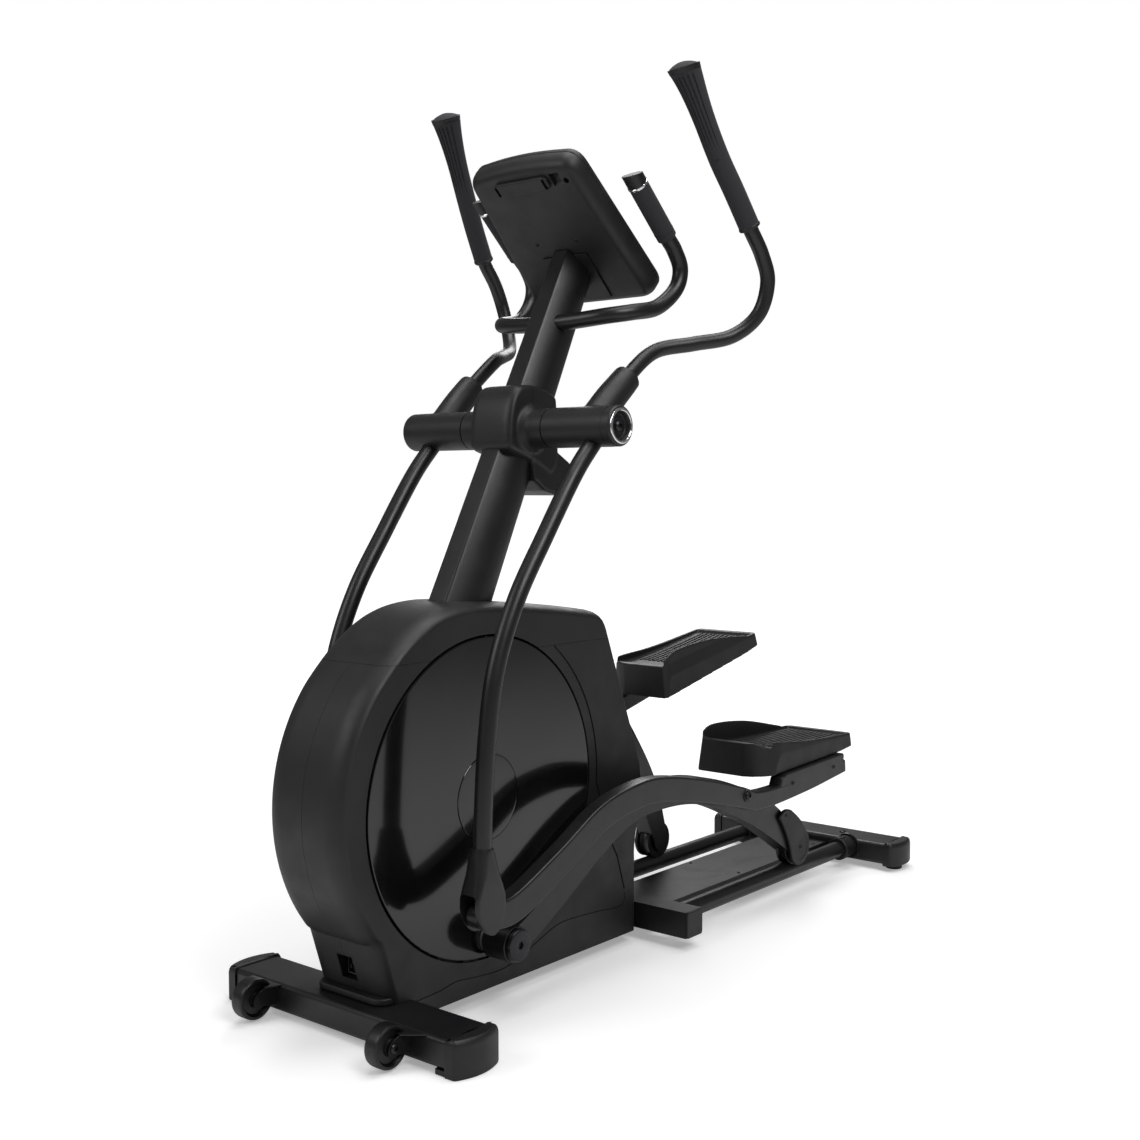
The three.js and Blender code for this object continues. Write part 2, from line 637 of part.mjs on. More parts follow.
// a grown tube also reaches further at its top, so that what it cuts clears the tube's end
function upperTube(side, grow) {
  const [x, y, z] = UPPER_PATH.at(-1);
  const path = [...UPPER_PATH.slice(0, -1), [x, y - 0.4 * grow, z + grow]];
  return tube(mirrorX(side, path), UPPER_TUBE_R + grow, 16);
}

// the grip is round below and flares fore and aft at its top
function handGrip(side) {
  const flareFrom = 560;
  const solid = tube(mirrorX(side, GRIP_PATH), GRIP_R, 6, 10);
  const flared = solid.warp((v) => {
    const over = Math.max(0, v[2] - flareFrom) / 100;
    const middleY = 178 - (v[2] - 580) * 0.43;
    v[1] = middleY + (v[1] - middleY) * (1 + 0.55 * over ** 1.6);
  });
  return flared;
}

function pivotCap(side) {
  const from = SLEEVE_X[1] + GAP;
  const profile = [
    [from, 0], [from, SLEEVE_R], [from + 16, SLEEVE_R], [from + 20, SLEEVE_R - 4], [from + 20, SLEEVE_R - 10],
    [from + 24, 0],
  ];
  const solid = turnedX(profile, [0, 0], 18);
  return side === LEFT ? solid : solid.mirror([1, 0, 0]);
}

// ------------------------------------------------------- pedal arms and pedals
// drawn round the clevis pin, in the left side's position at rest
const pedalFront = armToQ[0] + PEDAL_AHEAD;
const pedalRear = pedalFront + PEDAL_LEN;
const pedalFloor = armToQ[1] + PEDAL_RISE;
const pedalSeat = [pedalFront + 80, pedalRear - 80];
const pedalBottom = (y) => pedalFloor + (y - pedalFront) * 0.038;

// share of the way to the pivot on the link, height over the clevis pin, half height of the bar
const PEDAL_ARM_STATIONS = [
  [0.094, -2, 25], [0.256, 54, 25], [0.4, 111, 25], [0.538, 132, 25], [0.644, 129, 25], [0.806, 104, 24],
  [0.975, 69, 22], [1.075, 49, 20], [1.313, 54, 17], [1.534, 69, 15],
];

function pedalArm(side) {
  const stations = [
    [0, 0, 22],
    ...PEDAL_ARM_STATIONS.map(([share, z, half]) => [share * armToQ[0], z, half]),
  ];
  const outerFace = ARM_X + ARM_HALF_W;
  const beam = slab(ribbon(stations, 20), spanX(side, [ARM_X - ARM_HALF_W, outerFace]));
  const boss = cylinderX(spanX(side, [RAIL_X + LINK_HALF_W + 1, ARM_X]), armToQ, PEDAL_BOLT_R);
  const bolt = cylinderX(spanX(side, [ARM_X, outerFace + 4]), armToQ, 9, 16);
  const [seatFront, seatRear] = pedalSeat;
  const plateTop = (y) => pedalBottom(y) - GAP;
  const plateX = [PEDAL_X[0] + 38, outerFace];
  const plate = slab([
    [seatFront, plateTop(seatFront) - 6], [seatRear, plateTop(seatRear) - 6],
    [seatRear, plateTop(seatRear)], [seatFront, plateTop(seatFront)],
  ], spanX(side, plateX));
  const web = slab([
    [seatFront, armToQ[1] - 36], [seatRear, armToQ[1] - 20],
    [seatRear, plateTop(seatRear) - 1], [seatFront, plateTop(seatFront) - 1],
  ], spanX(side, [ARM_X - 12, ARM_X + 12]));
  const bore = cylinderX(spanX(side, [ARM_X - 30, ARM_X + 30]), [0, 0], CLEVIS_PIN_R + GAP, 16);
  return cut(join(beam, boss, bolt, plate, web), bore);
}

// the pedal seen from above, with a rounded outer front corner
function pedalPlan() {
  const [inner, outer] = PEDAL_X;
  const plan = new THREE.Shape();
  plan.moveTo(inner, pedalFront + 30);
  plan.quadraticCurveTo(inner, pedalFront, inner + 30, pedalFront);
  plan.lineTo(outer - 90, pedalFront);
  plan.quadraticCurveTo(outer, pedalFront + 6, outer, pedalFront + 80);
  plan.lineTo(outer, pedalRear - 20);
  plan.quadraticCurveTo(outer, pedalRear, outer - 20, pedalRear);
  plan.lineTo(inner + 20, pedalRear);
  plan.quadraticCurveTo(inner, pedalRear, inner, pedalRear - 20);
  const geometry = new THREE.ExtrudeGeometry(plan, { depth: 160, curveSegments: 6, bevelEnabled: false });
  geometry.translate(0, 0, pedalFloor - 20);
  return toSolid(geometry);
}

// a tray with a raised rim round the tread and a taller guard along the inner side
function pedal(side) {
  const low = pedalFloor;
  const [inner, outer] = PEDAL_X;
  const underside = [[pedalFront, low], [pedalRear - 59, low + 13], [pedalRear, low + 19]];
  const rim = [
    [pedalRear - 6, low + 53], [pedalFront + 200, low + 58], [pedalFront + 60, low + 72],
    [pedalFront + 20, low + 74],
  ];
  const guard = [
    [pedalRear - 50, low + 58], [pedalFront + 190, low + 88], [pedalFront + 60, low + 98],
    [pedalFront + 16, low + 84],
  ];
  const tread = [
    [pedalFront + 34, low + 120], [pedalFront + 40, low + 56], [pedalFront + 190, low + 46],
    [pedalRear - 18, low + 44], [pedalRear - 14, low + 120],
  ];
  const tray = slab([...underside, ...rim], spanX(side, [inner, outer]));
  const wall = slab([...underside, ...guard], spanX(side, [inner, inner + PEDAL_WALL]));
  const well = slab(tread, spanX(side, [inner + PEDAL_WALL, outer - PEDAL_WALL]));
  const plan = side === LEFT ? pedalPlan() : pedalPlan().mirror([1, 0, 0]);
  return cut(join(tray, wall).intersect(plan), well);
}

// ------------------------------------------------------- roller links
// drawn round the crank pin, in the left side's position at rest
const linkX = [RAIL_X - LINK_HALF_W, RAIL_X + LINK_HALF_W];

// share of the way to the roller's axle, height over the crank pin, half height of the bar
const LINK_STATIONS = [
  [0.055, 24, 25], [0.137, 69, 25], [0.258, 139, 25], [0.37, 181, 25], [0.513, 188, 27], [0.641, 166, 29],
  [0.789, 111, 33], [0.892, 59, 34],
];

function rollerLink(side) {
  const stations = [
    [0, 0, 24],
    ...LINK_STATIONS.map(([share, z, half]) => [share * drawnAxle[0], z, half]),
    [...drawnAxle, 24],
  ];
  const beam = slab(ribbon(stations, 20), spanX(side, linkX));
  const eye = cylinderX(spanX(side, linkX), drawnAxle, 26);
  const barrel = cylinderX(spanX(side, [linkX[0] - 12, linkX[1] + 3]), [0, 0], BARREL_R);
  const wheelRoom = cylinderX(spanX(side, [RAIL_X - 15.5, RAIL_X + 15.5]), drawnAxle, ROLLER_R + 8);
  const axle = cylinderX(spanX(side, [RAIL_X - 17, RAIL_X + 17]), drawnAxle, ROLLER_PIN_R, 12);
  const bore = cylinderX(spanX(side, [60, 200]), [0, 0], PIN_R + GAP);
  return cut(join(cut(join(beam, eye), wheelRoom), barrel, axle), bore);
}

// the crank pin with its round outer cap; it turns in the link's barrel and ends just off the disc
function crankPin(side) {
  const from = DISC_FACE + 1;
  const shoulder = linkX[1] + 3 + GAP;
  const solid = turnedX([
    [from, 0], [from, PIN_R], [shoulder, PIN_R], [shoulder, 29], [shoulder + 8, 29], [shoulder + 11, 25],
    [shoulder + 11, 7], [shoulder + 7, 7], [shoulder + 7, 0],
  ], [0, 0], 16);
  return side === LEFT ? solid : solid.mirror([1, 0, 0]);
}

// a grooved roller whose groove follows the rail's top
function roller(side) {
  const half = 13;
  const groove = RAIL_R + GAP;
  const profile = [[-half, ROLLER_PIN_R + GAP]];
  const steps = 4;
  for (let i = 0; i <= steps; i += 1) {
    const x = -half + (2 * half * i) / steps;
    profile.push([x, ROLLER_R + groove - Math.sqrt(groove ** 2 - x ** 2)]);
  }
  profile.push([half, ROLLER_PIN_R + GAP], [-half, ROLLER_PIN_R + GAP]);
  const solid = turnedX(profile, drawnAxle, 16);
  return solid.translate([side * RAIL_X, 0, 0]);
}

function rollerCover(side) {
  const [ay, az] = drawnAxle;
  const shape = new THREE.Shape();
  shape.absarc(ay, az, 42, -2.6, 0.9, false);
  shape.lineTo(ay - 40, az + 92);
  shape.quadraticCurveTo(ay - 72, az + 106, ay - 92, az + 84);
  shape.lineTo(ay - 38, az - 14);
  return slab(shape, spanX(side, [linkX[1] + GAP, linkX[1] + 9]), { width: 2, size: 2, steps: 1 });
}

// ------------------------------------------------------- pivot shroud
function shroudPieces() {
  const up = PIVOT[1];
  const outline = new THREE.Shape();
  outline.moveTo(-66, up - 47);
  outline.quadraticCurveTo(-66, up + 63, -30, up + 81);
  outline.quadraticCurveTo(40, up + 91, 76, up + 62);
  outline.lineTo(80, up - 37);
  outline.lineTo(60, up - 75);
  outline.lineTo(-40, up - 75);
  const body = slab(outline, [-52, 52], { width: 12, size: 12, steps: 2 });
  const bosses = cylinderX([-SLEEVE_X[0] + GAP, SLEEVE_X[0] - GAP], PIVOT, SLEEVE_R, 20);
  const bowl = slab([
    [40, up - 37], [40, up - 107], [76, up - 125], [116, up - 123], [142, up - 100], [150, up - 83],
    [78, up - 39],
  ], [-50, 50]);
  const bowlHollow = slab([
    [84, up - 20], [84, up - 106], [112, up - 115], [134, up - 99], [143, up - 82], [150, up - 20],
  ], [-44, 44]);
  const whole = cut(
    join(body, bosses, cut(bowl, bowlHollow)),
    mastSolid(GAP),
    cylinderX([-120, 120], PIVOT, AXLE_R + GAP),
  );
  const seam = GAP / 2;
  const big = 1500;
  return {
    front: whole.intersect(box([-big, big], [-big, PIVOT[0] - seam], [0, big])),
    rear: whole.intersect(box([-big, big], [PIVOT[0] + seam, big], [0, big])),
  };
}

// ------------------------------------------------------- console
// drawn flat: x across, y down the face towards the user, z out of the face
function consoleOutline(grow) {
  const half = CONSOLE_LEN / 2 + grow;
  const top = CONSOLE_W[0] / 2 + grow;
  const low = CONSOLE_W[1] / 2 + grow;
  const round = 34;
  const shape = new THREE.Shape();
  shape.moveTo(-top + round, -half);
  shape.quadraticCurveTo(0, -half - 12, top - round, -half);
  shape.quadraticCurveTo(top, -half, top + 3, -half + round);
  shape.lineTo(low, half - round);
  shape.quadraticCurveTo(low, half, low - round, half);
  shape.lineTo(-low + round, half);
  shape.quadraticCurveTo(-low, half, -low, half - round);
  shape.lineTo(-top - 3, -half + round);
  shape.quadraticCurveTo(-top, -half, -top + round, -half);
  return shape;
}

function flat(shape, [z0, z1], bevel = 0) {
  const geometry = new THREE.ExtrudeGeometry(shape, {
    depth: z1 - z0 - 2 * bevel,
    curveSegments: 4,
    bevelEnabled: bevel > 0,
    bevelThickness: bevel,
    bevelSize: bevel,
    bevelOffset: -bevel,
    bevelSegments: 1,
  });
  geometry.translate(0, 0, z0 + bevel);
  return toSolid(geometry);
}

const DISPLAY = { x: [-105, 105], y: [-118, 14] };
const BUTTON_Y = 58;
const BUTTON_R = 10;
const BUTTON_X = { start: 0, plus: 58, minus: -58 };

const mastTopOnConsole = turn([-CONSOLE_BEHIND, -CONSOLE_RISE], CONSOLE_TILT);

function consolePieces() {
  const back = join(
    flat(consoleOutline(0), [-34, -GAP], 10),
    box([-56, 56], [mastTopOnConsole[0] - 40, mastTopOnConsole[0] + 76], [-62, -20]),
  );
  const wells = Object.values(BUTTON_X).map((x) => cylinderZ([x, BUTTON_Y], [4, 30], BUTTON_R + GAP));
  const recess = box(
    [DISPLAY.x[0] - GAP, DISPLAY.x[1] + GAP],
    [DISPLAY.y[0] - GAP, DISPLAY.y[1] + GAP],
    [8, 30],
  );
  const front = cut(flat(consoleOutline(0), [0, 14], 5), recess, ...wells);
  const ledge = box([-100, 100], [118, 128], [9, 26]);
  return {
    back,
    front: join(front, ledge),
    display: box(DISPLAY.x, DISPLAY.y, [8 + GAP, 13]),
    button: (x) => cylinderZ([x, BUTTON_Y], [6, 16.5], BUTTON_R),
  };
}

// ------------------------------------------------------- pulse handlebar
// [x, y, z] seen from the middle of the mast where the bar crosses it
const PULSE_BELOW_TOP = 107;
const PULSE_HALF = [
  [60, -13, 1], [128, 1, 7], [163, 39, 15], [176, 101, 29], [187, 147, 67], [190, 159, 107], [190, 139, 141],
  [190, 115, 162], [190, 59, 212], [190, 11, 254],
];
const PULSE_GRIP = [[190, 115, 162], [190, 59, 212], [190, 3, 262]];
const pulseCentre = [mastY(MAST_TOP_Z - PULSE_BELOW_TOP), MAST_TOP_Z - PULSE_BELOW_TOP];
const atPulse = ([x, y, z]) => [x, y + pulseCentre[0], z + pulseCentre[1]];

function pulseBar(grow) {
  const left = PULSE_HALF.map(atPulse);
  const right = left.map(([x, y, z]) => [-x, y, z]).reverse();
  return tube([...right, atPulse([0, -17, 0]), ...left], PULSE_R + grow, 28, 8);
}

function pulseGrip(side) {
  return cut(tube(mirrorX(side, PULSE_GRIP.map(atPulse)), PULSE_GRIP_R, 3, 12), pulseBar(GAP));
}

// ------------------------------------------------------- wheels, feet and inlet
function wheel(side) {
  const half = WHEEL_W / 2;
  return turnedX([
    [-half, WHEEL_PIN_R + GAP], [-half, 14], [-half + 5, 22], [-half, WHEEL_R - 4], [-half + 4, WHEEL_R],
    [half - 4, WHEEL_R], [half, WHEEL_R - 4], [half - 5, 22], [half, 14], [half, WHEEL_PIN_R + GAP],
    [-half, WHEEL_PIN_R + GAP],
  ], WHEEL, 16).translate([side * WHEEL_X, 0, 0]);
}

function foot(side) {
  const at = [side * FOOT_X, REAR_STAB_Y];
  return join(cylinderZ(at, [0, 11], FOOT_R, 20), cylinderZ(at, [10, REAR_STAB_Z - 3 - GAP], 7, 16));
}

function inlet() {
  const wall = 3;
  const body = box(INLET_X, INLET_Y, INLET_Z);
  const well = box(
    [INLET_X[0] + wall, INLET_X[1] - wall],
    [INLET_Y[0] - 10, INLET_Y[1] - 10],
    [INLET_Z[0] + wall, INLET_Z[1] - wall],
  );
  return cut(body, well);
}

// ---------------------------------------------------------------- assembly
addMesh(model, 'base_frame', baseFrame(), powderCoat);
addMesh(model, 'front_stabilizer', frontStabiliser(), powderCoat);
addMesh(model, 'rear_stabilizer', rearStabiliser(), powderCoat);
addMesh(model, 'beam_cover', beamCover(), powderCoat);
for (const side of [LEFT, RIGHT]) {
  const name = sideName(side);
  const frontCap = endCap(side, FRONT_STAB_Y, FRONT_STAB_HALF, FRONT_STAB_Z, 0);
  const rearCap = endCap(side, REAR_STAB_Y, REAR_STAB_HALF, REAR_STAB_Z, REAR_STAB_Z - 3);
  addMesh(model, `front_cap_${name}`, frontCap, mouldedPlastic);
  addMesh(model, `rear_cap_${name}`, rearCap, mouldedPlastic);
  addMesh(model, `rail_${name}`, railSolid(side), powderCoat);
  addMesh(model, `transport_wheel_${name}`, wheel(side), rubber);
  addMesh(model, `foot_${name}`, foot(side), rubber);
}

const mastBore = cylinderX([-80, 80], PIVOT, AXLE_R + GAP);
addMesh(model, 'mast', cut(mastSolid(), mastBore, pulseBar(GAP)), powderCoat);

const housing = housingPieces();
addMesh(model, 'housing_left', housing.left, mouldedPlastic);
addMesh(model, 'housing_right', housing.right, mouldedPlastic);
addMesh(model, 'housing_top', housing.top, mouldedPlastic);
addMesh(model, 'power_inlet', inlet(), mouldedPlastic);

addMesh(model, 'crank_axle', cylinderX([-DISC_FACE + 2, DISC_FACE - 2], CRANK, CRANK_AXLE_R), steel);
addMesh(model, 'drive_pulley', drivePulley(), mouldedPlastic);
addMesh(model, 'crank_disc_left', crankDisc(LEFT), glossPlastic);
addMesh(model, 'crank_disc_right', crankDisc(RIGHT), glossPlastic);
addMesh(model, 'flywheel', flywheel(), castIron);
addMesh(model, 'drive_belt', belt(), rubber);
addMesh(model, 'brake_arm', brakeArm(), steel);

addMesh(model, 'pivot_axle', cylinderX([-SLEEVE_X[1], SLEEVE_X[1]], PIVOT, AXLE_R), steel);
const shroud = shroudPieces();
addMesh(model, 'shroud_front', shroud.front, mouldedPlastic);
addMesh(model, 'shroud_rear', shroud.rear, mouldedPlastic);

addMesh(model, 'pulse_bar', pulseBar(0), powderCoat);
for (const side of [LEFT, RIGHT]) {
  addMesh(model, `pulse_grip_${sideName(side)}`, pulseGrip(side), gripFoam);
}

const consoleMiddle = [mastY(MAST_TOP_Z) + CONSOLE_BEHIND, MAST_TOP_Z + CONSOLE_RISE];
const consoleGroup = new THREE.Group();
consoleGroup.position.set(0, ...consoleMiddle);
consoleGroup.rotation.x = -CONSOLE_TILT;
model.add(consoleGroup);
const consoleParts = consolePieces();
const consoleMatrix = new THREE.Matrix4().makeRotationX(-CONSOLE_TILT).setPosition(0, ...consoleMiddle);
const mastInConsole = mastSolid(GAP).transform(consoleMatrix.invert().elements);
addMesh(consoleGroup, 'console_back', cut(consoleParts.back, mastInConsole), mouldedPlastic);
addMesh(consoleGroup, 'console_front', consoleParts.front, mouldedPlastic);
addMesh(consoleGroup, 'display_lens', consoleParts.display, lens);
for (const [name, x] of Object.entries(BUTTON_X)) {
  addMesh(consoleGroup, `button_${name}`, consoleParts.button(x), rubber);
}

for (const side of [LEFT, RIGHT]) {
  const name = sideName(side);
  const layout = layoutOf(side);

  const arm = new THREE.Group();
  arm.position.set(0, ...PIVOT);
  arm.rotation.x = layout.armTurn;
  model.add(arm);
  addMesh(arm, `swing_arm_${name}`, swingArm(side), powderCoat);
  addMesh(arm, `arm_sleeve_${name}`, armSleeve(side), mouldedPlastic);
  addMesh(arm, `upper_handle_${name}`, upperTube(side, 0), powderCoat);
  addMesh(arm, `hand_grip_${name}`, cut(handGrip(side), upperTube(side, GAP)), gripFoam);
  addMesh(arm, `pivot_cap_${name}`, pivotCap(side), chrome);

  const pedalGroup = new THREE.Group();
  pedalGroup.position.set(0, ...layout.clevis);
  pedalGroup.rotation.x = layout.pedalTurn;
  model.add(pedalGroup);
  addMesh(pedalGroup, `pedal_arm_${name}`, pedalArm(side), powderCoat);
  addMesh(pedalGroup, `pedal_${name}`, pedal(side), mouldedPlastic);

  const link = new THREE.Group();
  link.position.set(0, ...layout.pin);
  link.rotation.x = layout.linkTurn;
  model.add(link);
  addMesh(link, `roller_link_${name}`, rollerLink(side), powderCoat);
  addMesh(link, `crank_pin_${name}`, crankPin(side), glossPlastic);
  addMesh(link, `roller_${name}`, roller(side), rubber);
  addMesh(link, `roller_cover_${name}`, rollerCover(side), mouldedPlastic);
}

// the origin is the middle of the machine's footprint, on the floor
const bounds = new THREE.Box3().setFromObject(model, true);
const machine = new THREE.Group();
model.position.y = -(bounds.min.y + bounds.max.y) / 2;
machine.add(model);

export default machine;
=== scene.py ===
"""Looks of a front-drive elliptical trainer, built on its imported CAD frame.

Sizes are millimetres in the fields of each class and metres in the scene. Pieces are drawn with the
swing axis at y = 0 and moved to the frame's own origin when they are finished.
"""

import json
import logging
import math
from dataclasses import dataclass
from enum import Enum
from typing import Callable, ClassVar, Iterable, Sequence

import bpy
from mathutils import Matrix, Vector

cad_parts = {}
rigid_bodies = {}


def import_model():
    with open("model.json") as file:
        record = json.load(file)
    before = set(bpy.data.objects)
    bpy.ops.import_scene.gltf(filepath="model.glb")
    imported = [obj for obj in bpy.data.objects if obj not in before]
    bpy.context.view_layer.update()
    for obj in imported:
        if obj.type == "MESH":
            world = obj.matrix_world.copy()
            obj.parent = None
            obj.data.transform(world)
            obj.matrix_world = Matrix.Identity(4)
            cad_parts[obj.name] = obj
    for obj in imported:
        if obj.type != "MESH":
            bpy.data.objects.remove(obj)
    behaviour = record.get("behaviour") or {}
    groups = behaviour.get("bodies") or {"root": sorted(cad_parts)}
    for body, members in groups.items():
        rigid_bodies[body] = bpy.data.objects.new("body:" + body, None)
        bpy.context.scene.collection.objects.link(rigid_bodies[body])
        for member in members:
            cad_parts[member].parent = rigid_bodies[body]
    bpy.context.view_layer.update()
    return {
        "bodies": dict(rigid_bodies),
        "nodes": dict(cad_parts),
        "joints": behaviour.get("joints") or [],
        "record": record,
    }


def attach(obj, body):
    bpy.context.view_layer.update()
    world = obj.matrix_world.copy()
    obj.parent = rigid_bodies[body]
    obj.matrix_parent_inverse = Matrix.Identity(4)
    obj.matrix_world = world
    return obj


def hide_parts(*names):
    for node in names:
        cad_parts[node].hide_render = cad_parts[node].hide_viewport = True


log = logging.getLogger("trainer")

MM = 0.001
QUARTER = math.pi / 2
AXLE_BORE = 12.4  # the hole for the pivot axle in the mast, the shroud and the arms
SHELL_GAP = 0.2  # half the gap between two moulded shells
Point2 = tuple[float, float]
Point3 = tuple[float, float, float]
Ring = list[Point3]


class Side(Enum):
    """The user's left is +X."""

    LEFT = 1
    RIGHT = -1

    @property
    def label(self) -> str:
        """The word used in node and body names."""
        return self.name.lower()


class Grain(Enum):
    """The relief of a surface."""

    POWDER = "powder"
    MOULD = "mould"
    FOAM = "foam"
    TURNED = "turned"
    SMOOTH = "smooth"


# ---------------------------------------------------------------- finishes
@dataclass(frozen=True)
class Finish:
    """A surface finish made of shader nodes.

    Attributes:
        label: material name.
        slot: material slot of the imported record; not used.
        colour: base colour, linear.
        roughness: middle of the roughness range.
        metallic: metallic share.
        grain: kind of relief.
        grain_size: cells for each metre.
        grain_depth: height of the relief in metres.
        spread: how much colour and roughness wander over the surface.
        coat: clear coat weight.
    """

    label: str
    slot: str
    colour: Point3
    roughness: float
    metallic: float = 0.0
    grain: Grain = Grain.MOULD
    grain_size: float = 900.0
    grain_depth: float = 0.0001
    spread: float = 0.12
    coat: float = 0.0

    def material(self) -> bpy.types.Material:
        """The material, made once for each label.

        Returns:
            The shader material.
        """
        found = bpy.data.materials.get(self.label)
        if found:
            return found
        made = bpy.data.materials.new(self.label)
        made.use_nodes = True
        nodes = made.node_tree.nodes
        links = made.node_tree.links
        shader = nodes["Principled BSDF"]
        shader.inputs["Metallic"].default_value = self.metallic
        shader.inputs["Coat Weight"].default_value = self.coat
        shader.inputs["Coat Roughness"].default_value = 0.04
        place = nodes.new("ShaderNodeTexCoord")
        self._colour_nodes(nodes, links, shader, place)
        self._roughness_nodes(nodes, links, shader, place)
        if self.grain is not Grain.SMOOTH:
            self._relief_nodes(nodes, links, shader, place)
        return made

    def _colour_nodes(self, nodes, links, shader, place) -> None:
        """Lets the colour wander slowly, with faint dust in the lighter end."""
        cloud = nodes.new("ShaderNodeTexNoise")
        cloud.inputs["Scale"].default_value = 9.0
        cloud.inputs["Detail"].default_value = 5.0
        ramp = nodes.new("ShaderNodeValToRGB")
        dark = [c * (1 - self.spread) for c in self.colour]
        light = [min(1.0, c * (1 + self.spread) + 0.002) for c in self.colour]
        ramp.color_ramp.elements[0].position = 0.3
        ramp.color_ramp.elements[0].color = (*dark, 1)
        ramp.color_ramp.elements[1].position = 0.7
        ramp.color_ramp.elements[1].color = (*light, 1)
        links.new(place.outputs["Object"], cloud.inputs["Vector"])
        links.new(cloud.outputs["Fac"], ramp.inputs["Fac"])
        links.new(ramp.outputs["Color"], shader.inputs["Base Color"])

    def _roughness_nodes(self, nodes, links, shader, place) -> None:
        """Breaks the gloss up a little, as handling and cleaning do."""
        smear = nodes.new("ShaderNodeTexNoise")
        smear.inputs["Scale"].default_value = 22.0
        smear.inputs["Detail"].default_value = 6.0
        spread = nodes.new("ShaderNodeMapRange")
        spread.inputs["From Min"].default_value = 0.3
        spread.inputs["From Max"].default_value = 0.7
        spread.inputs["To Min"].default_value = self.roughness * (1 - self.spread)
        spread.inputs["To Max"].default_value = min(1.0, self.roughness * (1 + self.spread))
        links.new(place.outputs["Object"], smear.inputs["Vector"])
        links.new(smear.outputs["Fac"], spread.inputs["Value"])
        links.new(spread.outputs["Result"], shader.inputs["Roughness"])

    def _relief_nodes(self, nodes, links, shader, place) -> None:
        """Adds the fine relief of powder, mould texture, foam or turning."""
        bump = nodes.new("ShaderNodeBump")
        bump.inputs["Strength"].default_value = 1.0
        bump.inputs["Distance"].default_value = self.grain_depth
        if self.grain is Grain.FOAM:
            cells = nodes.new("ShaderNodeTexVoronoi")
            height = cells.outputs["Distance"]
        elif self.grain is Grain.TURNED:
            cells = nodes.new("ShaderNodeTexWave")
            cells.wave_type = "RINGS"
            cells.rings_direction = "X"
            cells.inputs["Distortion"].default_value = 0.6
            height = cells.outputs["Fac"]
        else:
            cells = nodes.new("ShaderNodeTexNoise")
            cells.inputs["Detail"].default_value = 2.0 if self.grain is Grain.POWDER else 4.0
            height = cells.outputs["Fac"]
        cells.inputs["Scale"].default_value = self.grain_size
        links.new(place.outputs["Object"], cells.inputs["Vector"])
        links.new(height, bump.inputs["Height"])
        links.new(bump.outputs["Normal"], shader.inputs["Normal"])


POWDER_COAT = Finish("powder_coat_black", "powder_coat", (0.0075, 0.0075, 0.0086), 0.34, 0.05,
                     Grain.POWDER, 1400.0, 0.00008)
HOUSING_PLASTIC = Finish("housing_plastic", "moulded_plastic", (0.0062, 0.0062, 0.0066), 0.5, 0.0,
                         Grain.MOULD, 1100.0, 0.00006)
CAP_PLASTIC = Finish("cap_plastic", "moulded_plastic", (0.0052, 0.0052, 0.0055), 0.48, 0.0,
                     Grain.MOULD, 1300.0, 0.00008)
DISC_PLASTIC = Finish("disc_plastic", "gloss_plastic", (0.004, 0.004, 0.0045), 0.12, 0.0,
                      Grain.SMOOTH, coat=0.25)
TREAD_RUBBER = Finish("tread_rubber", "moulded_plastic", (0.005, 0.005, 0.0053), 0.6, 0.0,
                      Grain.MOULD, 700.0, 0.00012)
WHEEL_RUBBER = Finish("wheel_rubber", "rubber", (0.004, 0.004, 0.004), 0.36, 0.0,
                      Grain.MOULD, 600.0, 0.0001)
GRIP_FOAM = Finish("grip_foam", "grip_foam", (0.004, 0.004, 0.0042), 0.62, 0.0,
                   Grain.FOAM, 1500.0, 0.00018)
CHROME = Finish("chrome_trim", "chrome_trim", (0.78, 0.78, 0.8), 0.24, 1.0, Grain.SMOOTH, spread=0.05)
STEEL = Finish("bright_steel", "bright_steel", (0.52, 0.52, 0.54), 0.3, 1.0,
               Grain.TURNED, 900.0, 0.00002, spread=0.08)
BLACK_STEEL = Finish("blackened_steel", "bright_steel", (0.035, 0.035, 0.038), 0.28, 0.8,
                     Grain.TURNED, 700.0, 0.00002, spread=0.1)
CAST_IRON = Finish("cast_iron", "cast_iron", (0.1, 0.1, 0.105), 0.5, 0.85,
                   Grain.TURNED, 500.0, 0.00005)
BELT_RUBBER = Finish("belt_rubber", "rubber", (0.012, 0.012, 0.012), 0.7, 0.0, Grain.MOULD, 800.0, 0.0001)
GLASS_BLACK = Finish("display_cover", "display", (0.004, 0.005, 0.006), 0.05, 0.0, Grain.SMOOTH, coat=1.0)
PRINT_WHITE = Finish("legend_print", "moulded_plastic", (0.55, 0.55, 0.56), 0.5, 0.0,
                     Grain.MOULD, 900.0, 0.00002)


# ---------------------------------------------------------------- outlines and paths
def circle_points(radius: float, count: int = 32) -> list[Point2]:
    """Points on a circle.

    Args:
        radius: radius.
        count: number of points.

    Returns:
        The points, counter-clockwise.
    """
    step = 2 * math.pi / count
    return [(radius * math.cos(i * step), radius * math.sin(i * step)) for i in range(count)]


def rounded_box(half_u: float, half_v: float, corner: float, per_corner: int = 5) -> list[Point2]:
    """A rectangle with rounded corners.

    Args:
        half_u: half width.
        half_v: half height.
        corner: corner radius.
        per_corner: steps in each corner.

    Returns:
        The outline, counter-clockwise.
    """
    points = []
    for quarter, (su, sv) in enumerate(((1, 1), (-1, 1), (-1, -1), (1, -1))):
        for i in range(per_corner + 1):
            angle = QUARTER * (quarter + i / per_corner)
            points.append((su * (half_u - corner) + corner * math.cos(angle),
                           sv * (half_v - corner) + corner * math.sin(angle)))
    return points


